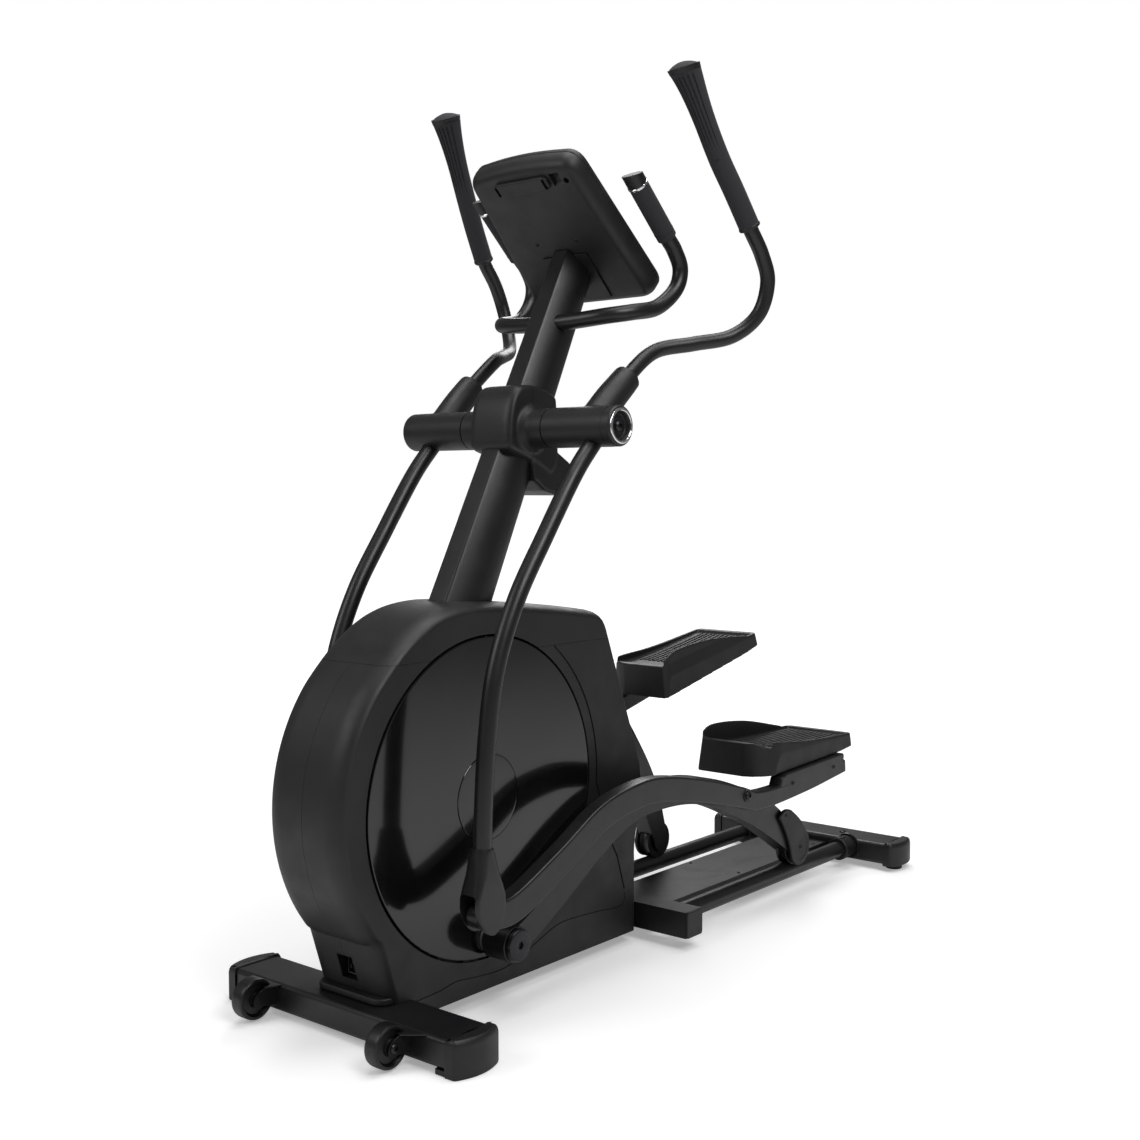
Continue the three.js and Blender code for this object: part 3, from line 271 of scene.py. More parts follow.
def bezier(p0: Point2, p1: Point2, p2: Point2, p3: Point2, count: int = 12) -> list[Point2]:
    """Points on a cubic curve, without its start.

    Args:
        p0: start.
        p1: first handle.
        p2: second handle.
        p3: end.
        count: number of points.

    Returns:
        The points after the start, the end included.
    """
    found = []
    for i in range(1, count + 1):
        t = i / count
        s = 1 - t
        found.append(tuple(s ** 3 * a + 3 * s * s * t * b + 3 * s * t * t * c + t ** 3 * d
                           for a, b, c, d in zip(p0, p1, p2, p3)))
    return found


def quadratic(p0: Point2, p1: Point2, p2: Point2, count: int = 8) -> list[Point2]:
    """Points on a quadratic curve, without its start.

    Args:
        p0: start.
        p1: handle.
        p2: end.
        count: number of points.

    Returns:
        The points after the start, the end included.
    """
    mid = [tuple(a + 2 / 3 * (b - a) for a, b in zip(end, p1)) for end in (p0, p2)]
    return bezier(p0, mid[0], mid[1], p2, count)


def arc(centre: Point2, radius: float, start: float, end: float, count: int) -> list[Point2]:
    """Points on an arc, both ends included.

    Args:
        centre: centre.
        radius: radius.
        start: first angle in radians.
        end: last angle in radians.
        count: number of steps.

    Returns:
        The points.
    """
    angles = (start + (end - start) * i / count for i in range(count + 1))
    return [(centre[0] + radius * math.cos(a), centre[1] + radius * math.sin(a)) for a in angles]


def resample(outline: Sequence[Point2], count: int) -> list[Point2]:
    """Spaces a closed outline evenly.

    Args:
        outline: closed outline.
        count: number of points wanted.

    Returns:
        The evenly spaced outline.
    """
    closed = list(outline) + [outline[0]]
    lengths = [math.dist(a, b) for a, b in zip(closed, closed[1:])]
    total = sum(lengths)
    found = []
    span, walked = 0, 0.0
    for i in range(count):
        target = total * i / count
        while walked + lengths[span] < target:
            walked += lengths[span]
            span += 1
        t = (target - walked) / lengths[span]
        a, b = closed[span], closed[span + 1]
        found.append((a[0] + t * (b[0] - a[0]), a[1] + t * (b[1] - a[1])))
    return found


def inset(outline: Sequence[Point2], by: float) -> list[Point2]:
    """Moves a closed outline inwards along its normals.

    Args:
        outline: closed outline, either way round.
        by: distance, positive inwards.

    Returns:
        The moved outline.
    """
    count = len(outline)
    area = sum(a[0] * b[1] - b[0] * a[1] for a, b in zip(outline, list(outline[1:]) + [outline[0]]))
    way = 1 if area > 0 else -1
    moved = []
    for i, (u, v) in enumerate(outline):
        before, after = outline[i - 1], outline[(i + 1) % count]
        du, dv = after[0] - before[0], after[1] - before[1]
        size = math.hypot(du, dv) or 1.0
        moved.append((u - way * dv / size * by, v + way * du / size * by))
    return moved


def smooth_path(points: Sequence[Point3], samples: int) -> list[Vector]:
    """A curve through points.

    Args:
        points: control points.
        samples: number of steps.

    Returns:
        Evenly parametrised points on the curve.
    """
    ctrl = [Vector(p) for p in points]
    ctrl = [2 * ctrl[0] - ctrl[1], *ctrl, 2 * ctrl[-1] - ctrl[-2]]
    last = len(points) - 1
    found = []
    for i in range(samples + 1):
        at = min(i / samples * last, last - 1e-9)
        k = int(at)
        t = at - k
        a, b, c, d = ctrl[k:k + 4]
        found.append(0.5 * ((2 * b) + (c - a) * t + (2 * a - 5 * b + 4 * c - d) * t * t
                            + (3 * b - a - 3 * c + d) * t ** 3))
    return found


def tube_rings(path: Sequence[Vector], section: Callable[[float], Sequence[Point2]]) -> list[Ring]:
    """Rings of a section carried along a path without twist.

    Args:
        path: points of the path.
        section: the section at each share of the path, 0 to 1.

    Returns:
        One ring for each path point.
    """
    last = len(path) - 1
    side = Vector((1, 0, 0))
    if abs((path[1] - path[0]).normalized().x) > 0.9:
        side = Vector((0, 0, 1))
    rings = []
    for i, at in enumerate(path):
        along = (path[min(i + 1, last)] - path[max(i - 1, 0)]).normalized()
        side = (side - along * side.dot(along)).normalized()
        up = along.cross(side)
        rings.append([tuple(at + side * u + up * v) for u, v in section(i / last)])
    return rings


# ---------------------------------------------------------------- modelling
def deselect() -> None:
    """Leaves edit mode and selects nothing."""
    if bpy.context.object and bpy.context.object.mode != "OBJECT":
        bpy.ops.object.mode_set(mode="OBJECT")
    bpy.ops.object.select_all(action="DESELECT")


def pick(piece: bpy.types.Object) -> None:
    """Selects one object and makes it active."""
    deselect()
    piece.select_set(True)
    bpy.context.view_layer.objects.active = piece


def close_up(piece: bpy.types.Object) -> None:
    """Merges doubles, closes holes and points all faces outwards."""
    pick(piece)
    bpy.ops.object.mode_set(mode="EDIT")
    bpy.ops.mesh.select_all(action="SELECT")
    bpy.ops.mesh.remove_doubles(threshold=1e-6)
    bpy.ops.mesh.delete_loose()
    bpy.ops.mesh.select_all(action="SELECT")
    bpy.ops.mesh.fill_holes(sides=0)
    bpy.ops.mesh.normals_make_consistent(inside=False)
    bpy.ops.object.mode_set(mode="OBJECT")


def loft(rings: Sequence[Ring]) -> bpy.types.Object:
    """A closed skin over rings of equal length, from a grid wrapped round.

    Args:
        rings: rings of [x, y, z] points in millimetres.

    Returns:
        The new object.
    """
    around, along = len(rings[0]), len(rings) - 1
    deselect()
    bpy.ops.mesh.primitive_grid_add(x_subdivisions=around, y_subdivisions=along, size=2)
    piece = bpy.context.object
    for vertex in piece.data.vertices:
        i = round((vertex.co.x + 1) / 2 * around) % around
        j = round((vertex.co.y + 1) / 2 * along)
        vertex.co = Vector(rings[j][i]) * MM
    close_up(piece)
    return piece


def plate(outline: Sequence[Point3], push: Point3) -> bpy.types.Object:
    """A flat outline extruded in one direction.

    Args:
        outline: [x, y, z] corners in millimetres.
        push: extrusion in millimetres.

    Returns:
        The new object.
    """
    deselect()
    bpy.ops.mesh.primitive_circle_add(vertices=len(outline), fill_type="NGON")
    piece = bpy.context.object
    for vertex, corner in zip(piece.data.vertices, outline):
        vertex.co = Vector(corner) * MM
    bpy.ops.object.mode_set(mode="EDIT")
    bpy.ops.mesh.select_all(action="SELECT")
    bpy.ops.mesh.extrude_region_move(TRANSFORM_OT_translate={"value": tuple(Vector(push) * MM)})
    bpy.ops.mesh.select_all(action="SELECT")
    bpy.ops.mesh.normals_make_consistent(inside=False)
    bpy.ops.object.mode_set(mode="OBJECT")
    return piece


def side_plate(outline: Sequence[Point2], x0: float, x1: float) -> bpy.types.Object:
    """An outline of [y, z] points extruded from x0 to x1."""
    return plate([(x0, y, z) for y, z in outline], (x1 - x0, 0, 0))


def turned(profile: Sequence[Point2], at: Point2 = (0, 0), steps: int = 72) -> bpy.types.Object:
    """A profile spun round an axis along X.

    Args:
        profile: [x, radius] points that start and end on the axis or close on themselves.
        at: [y, z] of the axis.
        steps: facets round the axis.

    Returns:
        The new object.
    """
    deselect()
    bpy.ops.mesh.primitive_circle_add(vertices=len(profile), fill_type="NOTHING")
    piece = bpy.context.object
    for vertex, (x, radius) in zip(piece.data.vertices, profile):
        vertex.co = Vector((x, 0, radius)) * MM
    bpy.ops.object.mode_set(mode="EDIT")
    bpy.ops.mesh.select_all(action="SELECT")
    bpy.ops.mesh.spin(steps=steps, angle=2 * math.pi, center=(0, 0, 0), axis=(1, 0, 0))
    bpy.ops.object.mode_set(mode="OBJECT")
    close_up(piece)
    shift(piece, (0, *at))
    return piece


def rod(x0: float, x1: float, radius: float, at: Point2 = (0, 0), steps: int = 48) -> bpy.types.Object:
    """A round bar along X from x0 to x1, used as a solid or as a cutter."""
    return turned([(x0, 0), (x0, radius), (x1, radius), (x1, 0)], at, steps)


def shift(piece: bpy.types.Object, by: Point3) -> None:
    """Moves a mesh by millimetres and leaves its object at the origin."""
    pick(piece)
    piece.location = Vector(by) * MM
    bpy.ops.object.transform_apply(location=True, rotation=True, scale=True)


def aim(piece: bpy.types.Object, matrix: Matrix) -> None:
    """Applies a matrix in metres to a mesh and leaves its object at the origin."""
    pick(piece)
    piece.matrix_world = matrix
    bpy.ops.object.transform_apply(location=True, rotation=True, scale=True)


def apply_modifier(piece: bpy.types.Object, kind: str, **settings) -> None:
    """Adds a modifier with its settings and applies it.

    Args:
        piece: the object.
        kind: modifier type.
        **settings: attributes of the modifier.
    """
    pick(piece)
    modifier = piece.modifiers.new(kind.title(), kind)
    for name, value in settings.items():
        setattr(modifier, name, value)
    bpy.ops.object.modifier_apply(modifier=modifier.name)


def soften(piece: bpy.types.Object, width: float, segments: int = 3, angle: float = 35) -> None:
    """Rounds the edges that are sharper than an angle.

    Args:
        piece: the object.
        width: bevel width in millimetres.
        segments: steps in the rounding.
        angle: smallest angle that is rounded, in degrees.
    """
    apply_modifier(piece, "BEVEL", width=width * MM, segments=segments, limit_method="ANGLE",
                   angle_limit=math.radians(angle), use_clamp_overlap=True)


def carve(piece: bpy.types.Object, *cutters: bpy.types.Object, how: str = "DIFFERENCE") -> None:
    """Cuts, joins or intersects a piece with others, which are used up.

    Args:
        piece: the object that is kept.
        *cutters: the others.
        how: the kind of boolean.
    """
    for cutter in cutters:
        apply_modifier(piece, "BOOLEAN", operation=how, object=cutter, solver="EXACT")
        bpy.data.objects.remove(cutter)


def blended(pieces: Sequence[bpy.types.Object], voxel: float, rounds: int) -> bpy.types.Object:
    """Melts closed solids into one moulded body with soft inner and outer corners.

    Args:
        pieces: the solids, which are used up.
        voxel: size of the new faces in millimetres.
        rounds: how often the skin is smoothed.

    Returns:
        The new object.
    """
    whole = merged(pieces)
    apply_modifier(whole, "REMESH", mode="VOXEL", voxel_size=voxel * MM)
    apply_modifier(whole, "SMOOTH", factor=0.5, iterations=rounds)
    return whole


def mirrored(piece: bpy.types.Object) -> bpy.types.Object:
    """A copy with its own mesh, mirrored in the plane x = 0."""
    pick(piece)
    bpy.ops.object.duplicate()
    copy = bpy.context.object
    copy.scale = (-1, 1, 1)
    bpy.ops.object.transform_apply(location=True, rotation=True, scale=True)
    bpy.ops.object.mode_set(mode="EDIT")
    bpy.ops.mesh.select_all(action="SELECT")
    bpy.ops.mesh.normals_make_consistent(inside=False)
    bpy.ops.object.mode_set(mode="OBJECT")
    return copy


def merged(pieces: Sequence[bpy.types.Object]) -> bpy.types.Object:
    """Joins objects into the first one."""
    deselect()
    for piece in pieces:
        piece.select_set(True)
    bpy.context.view_layer.objects.active = pieces[0]
    if len(pieces) > 1:
        bpy.ops.object.join()
    return bpy.context.object


def trim(piece: bpy.types.Object, at: Point3, normal: Point3) -> None:
    """Cuts away what lies on the normal's side of a plane and closes the cut.

    Args:
        piece: the object.
        at: a point of the plane in millimetres.
        normal: the plane's normal.
    """
    pick(piece)
    bpy.ops.object.mode_set(mode="EDIT")
    bpy.ops.mesh.select_all(action="SELECT")
    bpy.ops.mesh.bisect(plane_co=tuple(Vector(at) * MM), plane_no=normal, use_fill=True,
                        clear_outer=True)
    bpy.ops.object.mode_set(mode="OBJECT")


def copied(piece: bpy.types.Object) -> bpy.types.Object:
    """A copy with its own mesh."""
    pick(piece)
    bpy.ops.object.duplicate()
    return bpy.context.object


def screw(x: float, at: Point2, radius: float = 6) -> bpy.types.Object:
    """A domed screw head with a hexagon socket, facing +X.

    Args:
        x: where the head starts.
        at: [y, z] of its axis.
        radius: head radius.

    Returns:
        The new object.
    """
    high = radius * 0.55
    socket = radius * 0.5
    head = turned([(x - 1, 0), (x - 1, radius), (x + high * 0.4, radius), (x + high * 0.85, radius * 0.8),
                   (x + high, socket + 0.6), (x + high, 0)], at, 28)
    hexagon = side_plate([(at[0] + u, at[1] + v) for u, v in circle_points(socket, 6)],
                         x + high * 0.35, x + high + 2)
    carve(head, hexagon)
    return head


# ---------------------------------------------------------------- layout
@dataclass
class Layout:
    """Where the axes of the mechanism are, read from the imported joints.

    Attributes:
        crank_r: crank radius.
    """

    frame: dict
    crank_r: float = 254.0

    def axis(self, joint: str) -> Point2:
        """[y, z] of a joint's axis in millimetres, in the frame's own coordinates."""
        found = next(j for j in self.frame["joints"] if j["name"] == joint)
        return found["pos_m"][1] / MM, found["pos_m"][2] / MM

    @property
    def pivot(self) -> Point2:
        """The swing axis."""
        return self.axis("left_swing_turn")

    def pin(self, side: Side) -> Point2:
        """The crank pin of a side at rest."""
        y, z = self.axis("crank_turn")
        return y, z - side.value * self.crank_r

    def turn_between(self, start: Callable[[Side], Point2], end: Callable[[Side], Point2],
                     side: Side) -> float:
        """How far a side's line from start to end is turned from the left side's line.

        Args:
            start: start of the line on a side.
            end: end of the line on a side.
            side: the side.

        Returns:
            The angle in radians about +X.
        """
        def heading(which: Side) -> float:
            (y0, z0), (y1, z1) = start(which), end(which)
            return math.atan2(z1 - z0, y1 - y0)
        return heading(side) - heading(Side.LEFT)

    def clevis(self, side: Side) -> Point2:
        """The pin that joins a swing arm to its pedal arm."""
        return self.axis(f"{side.label}_clevis_turn")

    def knee(self, side: Side) -> Point2:
        """The bolt that joins a pedal arm to its roller link."""
        return self.axis(f"{side.label}_link_turn")

    def roller(self, side: Side) -> Point2:
        """The axle of a roller."""
        return self.axis(f"{side.label}_roller_spin")

    def crank_matrix(self, _: Side) -> Matrix:
        """Places what is drawn round the crank's axis."""
        return self._matrix(self.axis("crank_turn"), 0.0)

    def arm_matrix(self, side: Side) -> Matrix:
        """Places what is drawn round the swing axis."""
        return self._matrix(self.pivot, self.turn_between(lambda _: self.pivot, self.clevis, side))

    def pedal_matrix(self, side: Side) -> Matrix:
        """Places what is drawn round the clevis pin."""
        return self._matrix(self.clevis(side), self.turn_between(self.clevis, self.knee, side))

    def link_matrix(self, side: Side) -> Matrix:
        """Places what is drawn round the crank pin."""
        return self._matrix(self.pin(side), self.turn_between(self.knee, self.roller, side))

    def _matrix(self, at: Point2, angle: float) -> Matrix:
        """A turn about X followed by a move to [y, z]."""
        return Matrix.Translation(Vector((0, *at)) * MM) @ Matrix.Rotation(angle, 4, "X")


class Builder:
    """Finishes pieces: names, places and dresses them, and hangs them on their bodies."""

    def __init__(self, layout: Layout) -> None:
        """Keeps the layout and starts the list of finished pieces."""
        self.layout = layout
        self.made: list[bpy.types.Object] = []

    def done(self, piece: bpy.types.Object, name: str, body: str, finish: Finish,
             replaces: Iterable[str] = (), angle: float = 32) -> bpy.types.Object:
        """Names, smooths, dresses and rides a finished piece.

        Args:
            piece: the object, with its place in its mesh.
            name: its name.
            body: the CAD body it rides on.
            finish: its finish.
            replaces: CAD nodes it stands for.
            angle: edges sharper than this stay sharp, in degrees.

        Returns:
            The piece.
        """
        pick(piece)
        bpy.ops.object.shade_smooth_by_angle(angle=math.radians(angle))
        apply_modifier(piece, "WEIGHTED_NORMAL", keep_sharp=True)
        piece.name = name
        piece.data.name = name
        piece.data.materials.clear()
        piece.data.materials.append(finish.material())
        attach(piece, body)
        if replaces:
            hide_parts(*replaces)
        self.made.append(piece)
        log.info("%s: %d faces", name, len(piece.data.polygons))
        return piece

    def fixed(self, piece: bpy.types.Object, name: str, finish: Finish,
              replaces: Iterable[str] = (), angle: float = 32) -> bpy.types.Object:
        """Finishes a piece of the standing frame, drawn with the swing axis at y = 0."""
        shift(piece, (0, self.layout.pivot[0], 0))
        return self.done(piece, name, "frame", finish, replaces, angle)

    def pair(self, piece: bpy.types.Object, name: str, body: str, finish: Finish,
             place: Callable[[Side], Matrix], replaces: Sequence[str] = (),
             angle: float = 32) -> None:
        """Finishes a left piece and its mirrored right twin, each at its own place and turn.

        Args:
            piece: the left piece, drawn round the origin of its group.
            name: name without the side.
            body: body name with {} for the side, or a plain body name.
            finish: its finish.
            place: gives the matrix of a side.
            replaces: CAD node names without the side.
            angle: edges sharper than this stay sharp, in degrees.
        """
        twin = mirrored(piece)
        for side, one in ((Side.LEFT, piece), (Side.RIGHT, twin)):
            aim(one, place(side))
            self.done(one, f"{name}_{side.label}", body.format(side.label), finish,
                      [f"{node}_{side.label}" for node in replaces], angle)

    def standing(self, _: Side) -> Matrix:
        """Places what is drawn with the swing axis at y = 0."""
        return Matrix.Translation(Vector((0, self.layout.pivot[0] * MM, 0)))

    def dress_cad(self, node: str, finish: Finish, width: float = 0) -> None:
        """Gives a kept CAD node its finish and rounded edges.

        Args:
            node: name of the CAD node.
            finish: its finish.
            width: bevel width in millimetres, 0 for none.
        """
        kept = self.layout.frame["nodes"][node]
        kept.data.materials.clear()
        kept.data.materials.append(finish.material())
        if width:
            weld = kept.modifiers.new("Weld", "WELD")
            weld.merge_threshold = 0.00001
            bevel = kept.modifiers.new("Bevel", "BEVEL")
            bevel.width = width * MM
            bevel.segments = 2
            bevel.limit_method = "ANGLE"
            bevel.angle_limit = math.radians(38)
        log.info("kept %s", node)


# ---------------------------------------------------------------- housing and discs
@dataclass
class Housing:
    """The tall moulded housing round the crank, in a left, a right and a top shell.

    Attributes:
        half: half width.
        crown: how far the side view is drawn in at the side faces.
        crown_width: width of the rounding between a side face and the rim.
        wall: wall thickness.
        crank: [y, z] of the crank's axis.
        disc_r: radius of the crank disc.
        disc_gap: gap round the disc.
        top: height of the top.
        seam_z: height of the seam between the side shells and the top shell.
        around: points round the side view.
    """

    half: float = 92.0
    crown: float = 18.0
    crown_width: float = 40.0
    wall: float = 4.0
    crank: Point2 = (-172.0, 375.0)
    disc_r: float = 288.0
    disc_gap: float = 4.0
    top: float = 724.0
    seam_z: float = 632.0
    around: int = 220

    def outline(self) -> list[Point2]:
        """The housing seen from the side, as [y, z] points."""
        cy, cz = self.crank
        top = self.top
        foot = math.atan2(-205, -270)
        front_r = self.disc_r + 56
        foot_r = self.disc_r + 52
        points = [(-398.0, 2.0), (-403.0, 44.0), (-412.0, 72.0),
                  (cy + foot_r * math.cos(foot), cz + foot_r * math.sin(foot))]
        points += arc((cy - 5, cz + 6), front_r, foot + 2 * math.pi, 0.78 * math.pi, 60)
        points += bezier(points[-1], (-350, top - 24), (-290, top - 2), (-200, top), 14)
        points += bezier((-200, top), (-100, top - 2), (40, top - 18), (140, top - 34), 20)
        points += quadratic((140, top - 34), (174, top - 38), (187, top - 72), 10)
        points += [(295, cz + 7)]
        points += quadratic((295, cz + 7), (315, cz - 55), (299, cz - 115), 10)
        points += quadratic((299, cz - 115), (281, cz - 155), (281, cz - 185), 8)
        points += [(281, 2)]
        return resample(points, self.around)

    def body(self, by: float) -> bpy.types.Object:
        """The crowned solid, moved inwards by a wall thickness.

        Args:
            by: how far every face is moved in.

        Returns:
            The new object.
        """
        base = inset(self.outline(), by)
        flat = self.half - self.crown_width
        steps = 9
        stations = []
        for i in range(steps + 1):
            angle = QUARTER * i / steps
            stations.append((flat + (self.crown_width - by) * math.sin(angle),
                             self.crown * (1 - math.cos(angle))))
        rings = []
        for x, drop in [(-x, drop) for x, drop in reversed(stations)] + stations:
            rings.append([(x, y, z) for y, z in inset(base, drop)])
        return loft(rings)

    def seams(self, points: Sequence[Point2], width: float, depth: float) -> list[bpy.types.Object]:
        """Cutters that leave a seam along [y, z] points on both side faces.

        Args:
            points: the seam's line.
            width: width of the groove.
            depth: depth of the groove.

        Returns:
            A cutter for each side.
        """
        rings = []
        last = len(points) - 1
        for i, (y, z) in enumerate(points):
            y0, z0 = points[max(i - 1, 0)]
            y1, z1 = points[min(i + 1, last)]
            size = math.hypot(y1 - y0, z1 - z0)
            ny, nz = -(z1 - z0) / size * width / 2, (y1 - y0) / size * width / 2
            low, high = self.half - depth, self.half + 6
            rings.append([(low, y + ny, z + nz), (high, y + ny, z + nz), (high, y - ny, z - nz),
                          (low, y - ny, z - nz)])
        left = loft(rings)
        return [left, mirrored(left)]

    def build(self, builder: Builder, mast: "Mast") -> None:
        """Makes the three shells with their seams and openings.

        Args:
            builder: finishes the pieces.
            mast: the mast, whose foot the top shell is cut round.
        """
        shell = self.body(0)
        side_seam = [(14, 631), *arc(self.crank, 315, 0.92, 0.02, 20), (141, 352), (150, 332), (172, 253),
                     (209, 192), (233, 120)]
        skirt = [(235, 112), (222, 88), (130, 95), (34, 98), (-31, 80), (-80, 63), (-136, 52), (-209, 57),
                 (-253, 61.6), (-295, 56), (-352, 54)]
        skirt_line = [(p.y, p.z) for p in smooth_path([(0, *p) for p in skirt], 60)]
        carve(shell, *self.seams(side_seam, 3.8, 2.6), *self.seams(skirt_line, 1.8, 2.0))
        carve(shell, self.body(self.wall))
        opening = rod(-self.half - 9, self.half + 9, self.disc_r + self.disc_gap, self.crank, 128)
        keel_room = side_plate([(-382, 0), (290, 0), (290, 50), (-262, 50), (-262, 92), (-382, 92)], -34, 34)
        carve(shell, opening, mast.solid(2.0), keel_room, self.level_cut(-353, 92), self.level_cut(400, 46),
              side_plate([(-470, 88), (-380, 88), (-380, 138), (-470, 138)], -22, 22))
        for name, side in (("housing_left", 1), ("housing_right", -1)):
            half = copied(shell)
            trim(half, (0, 0, self.seam_z - SHELL_GAP), (0, 0, 1))
            trim(half, (side * SHELL_GAP, 0, 0), (-side, 0, 0))
            soften(half, 1.0, 2, 50)
            builder.fixed(half, f"{name}_shell", HOUSING_PLASTIC, [name])
        trim(shell, (0, 0, self.seam_z + SHELL_GAP), (0, 0, -1))
        soften(shell, 1.0, 2, 50)
        builder.fixed(shell, "housing_top_shell", HOUSING_PLASTIC, ["housing_top"])
        self.build_screws(builder)
        self.build_foot(builder)

    def level_cut(self, rear: float, push: float) -> bpy.types.Object:
        """A wide cutter from in front of the housing to a y, from below the floor up by push."""
        x, y, z = 120, -460, -20
        return plate([(-x, y, z), (x, y, z), (x, rear, z), (-x, rear, z)], (0, 0, push))

    def build_foot(self, builder: Builder) -> None:
        """Adds the plinth on the front stabiliser and the power inlet in its pocket."""
        plinth = plate([(u, v - 382, 60.6) for u, v in rounded_box(86, 45, 26, 10)], (0, 0, 12))
        soften(plinth, 3, 4, 40)
        builder.fixed(plinth, "housing_plinth", HOUSING_PLASTIC)
        pocket = side_plate([(-417.2, 88.4), (-432.6, 137.6), (-384, 137.6), (-384, 88.4)], -21.6, 21.6)
        carve(pocket, side_plate([(-470, 91), (-470, 135), (-402, 135), (-402, 91)], -19, 19))
        socket = side_plate([(-412, 97), (-412, 129), (-401, 129), (-401, 97)], -13, 13)
        soften(socket, 1.5, 2, 40)
        carve(socket, side_plate([(-420, 100), (-420, 126), (-404, 126), (-404, 100)], -10, 10))
        pins = [side_plate([(-411, z - 3.2), (-411, z + 3.2), (-403, z + 3.2), (-403, z - 3.2)],
                           x - 0.9, x + 0.9)
                for x, z in ((-5.5, 110), (5.5, 110), (0, 118))]
        pieces = merged([pocket, socket, *pins])
        builder.fixed(pieces, "inlet_socket", CAP_PLASTIC, ["power_inlet"])

    def build_screws(self, builder: Builder) -> None:
        """Adds the side screws of the skirt."""
        spots = [(-366, 92), (-227, 44), (246, 48), (-20, 52), (246, 214)]
        screws = merged([screw(self.half - 3.2, spot, 5) for spot in spots])
        builder.pair(screws, "housing_screws", "frame", BLACK_STEEL, builder.standing)


@dataclass
class CrankDisc:
    """The glossy disc with its hub cover."""

    face: float = 93.5
    thickness: float = 6.0
    radius: float = 288.0
    hub_r: float = 78.0

    def build(self, builder: Builder) -> None:
        """Makes both discs and their hub covers."""
        f, r = self.face, self.radius
        disc = turned([(f - 1, 0), (f - 1, 13), (66, 13), (66, 34), (f - self.thickness, 60),
                       (f - self.thickness, r - 2), (f - self.thickness + 1.2, r), (f - 2.6, r),
                       (f - 1, r - 0.7), (f, r - 2.6), (f, self.hub_r + 1.2), (f - 0.8, self.hub_r + 0.9),
                       (f - 0.8, 20), (f - 0.8, 0)], (0, 0), 160)
        place = builder.layout.crank_matrix
        builder.pair(disc, "disc", "crank", DISC_PLASTIC, place, ["crank_disc"])
        h = self.hub_r
        hub = turned([(f - 0.6, 0), (f - 0.6, h), (f + 0.1, h), (f + 0.7, h - 0.7), (f + 1.1, h - 5),
                      (f + 1.5, h - 30), (f + 1.7, h - 48), (f + 1.7, 0)], (0, 0), 96)
        builder.pair(hub, "disc_hub", "crank", DISC_PLASTIC, place)


# ---------------------------------------------------------------- mast, shroud, bars
@dataclass
class Mast:
    """The raked mast: flat in front, round behind, narrower at its top."""

    tilt: float = 0.501
    at_pivot: float = 17.0
    pivot_z: float = 1037.0
    bottom: float = 575.0
    top: float = 1352.0
    front_half: float = 20.0
    half_w: float = 42.0
    half_d: float = 60.0
    taper: Point2 = (1.14, 0.86)

    def middle(self, z: float) -> float:
        """y of the mast's middle at a height."""
        return self.at_pivot + self.tilt * (z - self.pivot_z)

    def section(self, grow: float = 0) -> list[Point2]:
        """The level section as [x, y] points."""
        f, d, w = self.front_half + grow, self.half_d + grow, self.half_w + grow
        points = [(-f + 3, -d), (f - 3, -d)]
        points += quadratic((f - 3, -d), (f, -d), (f + 2, -d * 0.94), 4)
        points += bezier((f + 2, -d * 0.94), (f + 10, -d * 0.7), (w, -d * 0.3), (w, 0), 14)
        points += bezier((w, 0), (w, d * 0.6), (w * 0.6, d), (0, d), 14)
        return points + [(-x, y) for x, y in points[-2:1:-1]]

    def solid(self, grow: float = 0, top: float | None = None) -> bpy.types.Object:
        """The mast's solid.

        Args:
            grow: how far the section is grown.
            top: height of its end, or None for the mast's own.

        Returns:
            The new object.
        """
        rings = []
        section = self.section(grow)
        rise = self.top - self.bottom
        last = (top or self.top) - self.bottom
        for i in range(15):
            z = self.bottom + last * i / 14
            scale = self.taper[0] + last * i / 14 / rise * (self.taper[1] - self.taper[0])
            rings.append([(x * scale, y * scale + self.middle(z), z) for x, y in section])
        return loft(rings)

    def build(self, builder: Builder, console: "Console") -> None:
        """Makes the mast, which ends on the console's back.

        Args:
            builder: finishes the pieces.
            console: the console it carries.
        """
        mast = self.solid(0, self.top + 90)
        ahead, up = math.sin(console.tilt), math.cos(console.tilt)
        off = console.back + 2
        trim(mast, (0, console.middle[0] - off * ahead, console.middle[1] - off * up), (0, ahead, up))
        carve(mast, rod(-80, 80, AXLE_BORE, (0, self.pivot_z), 40))
        soften(mast, 1.5, 2, 60)
        builder.fixed(mast, "mast_tube", POWDER_COAT, ["mast"])


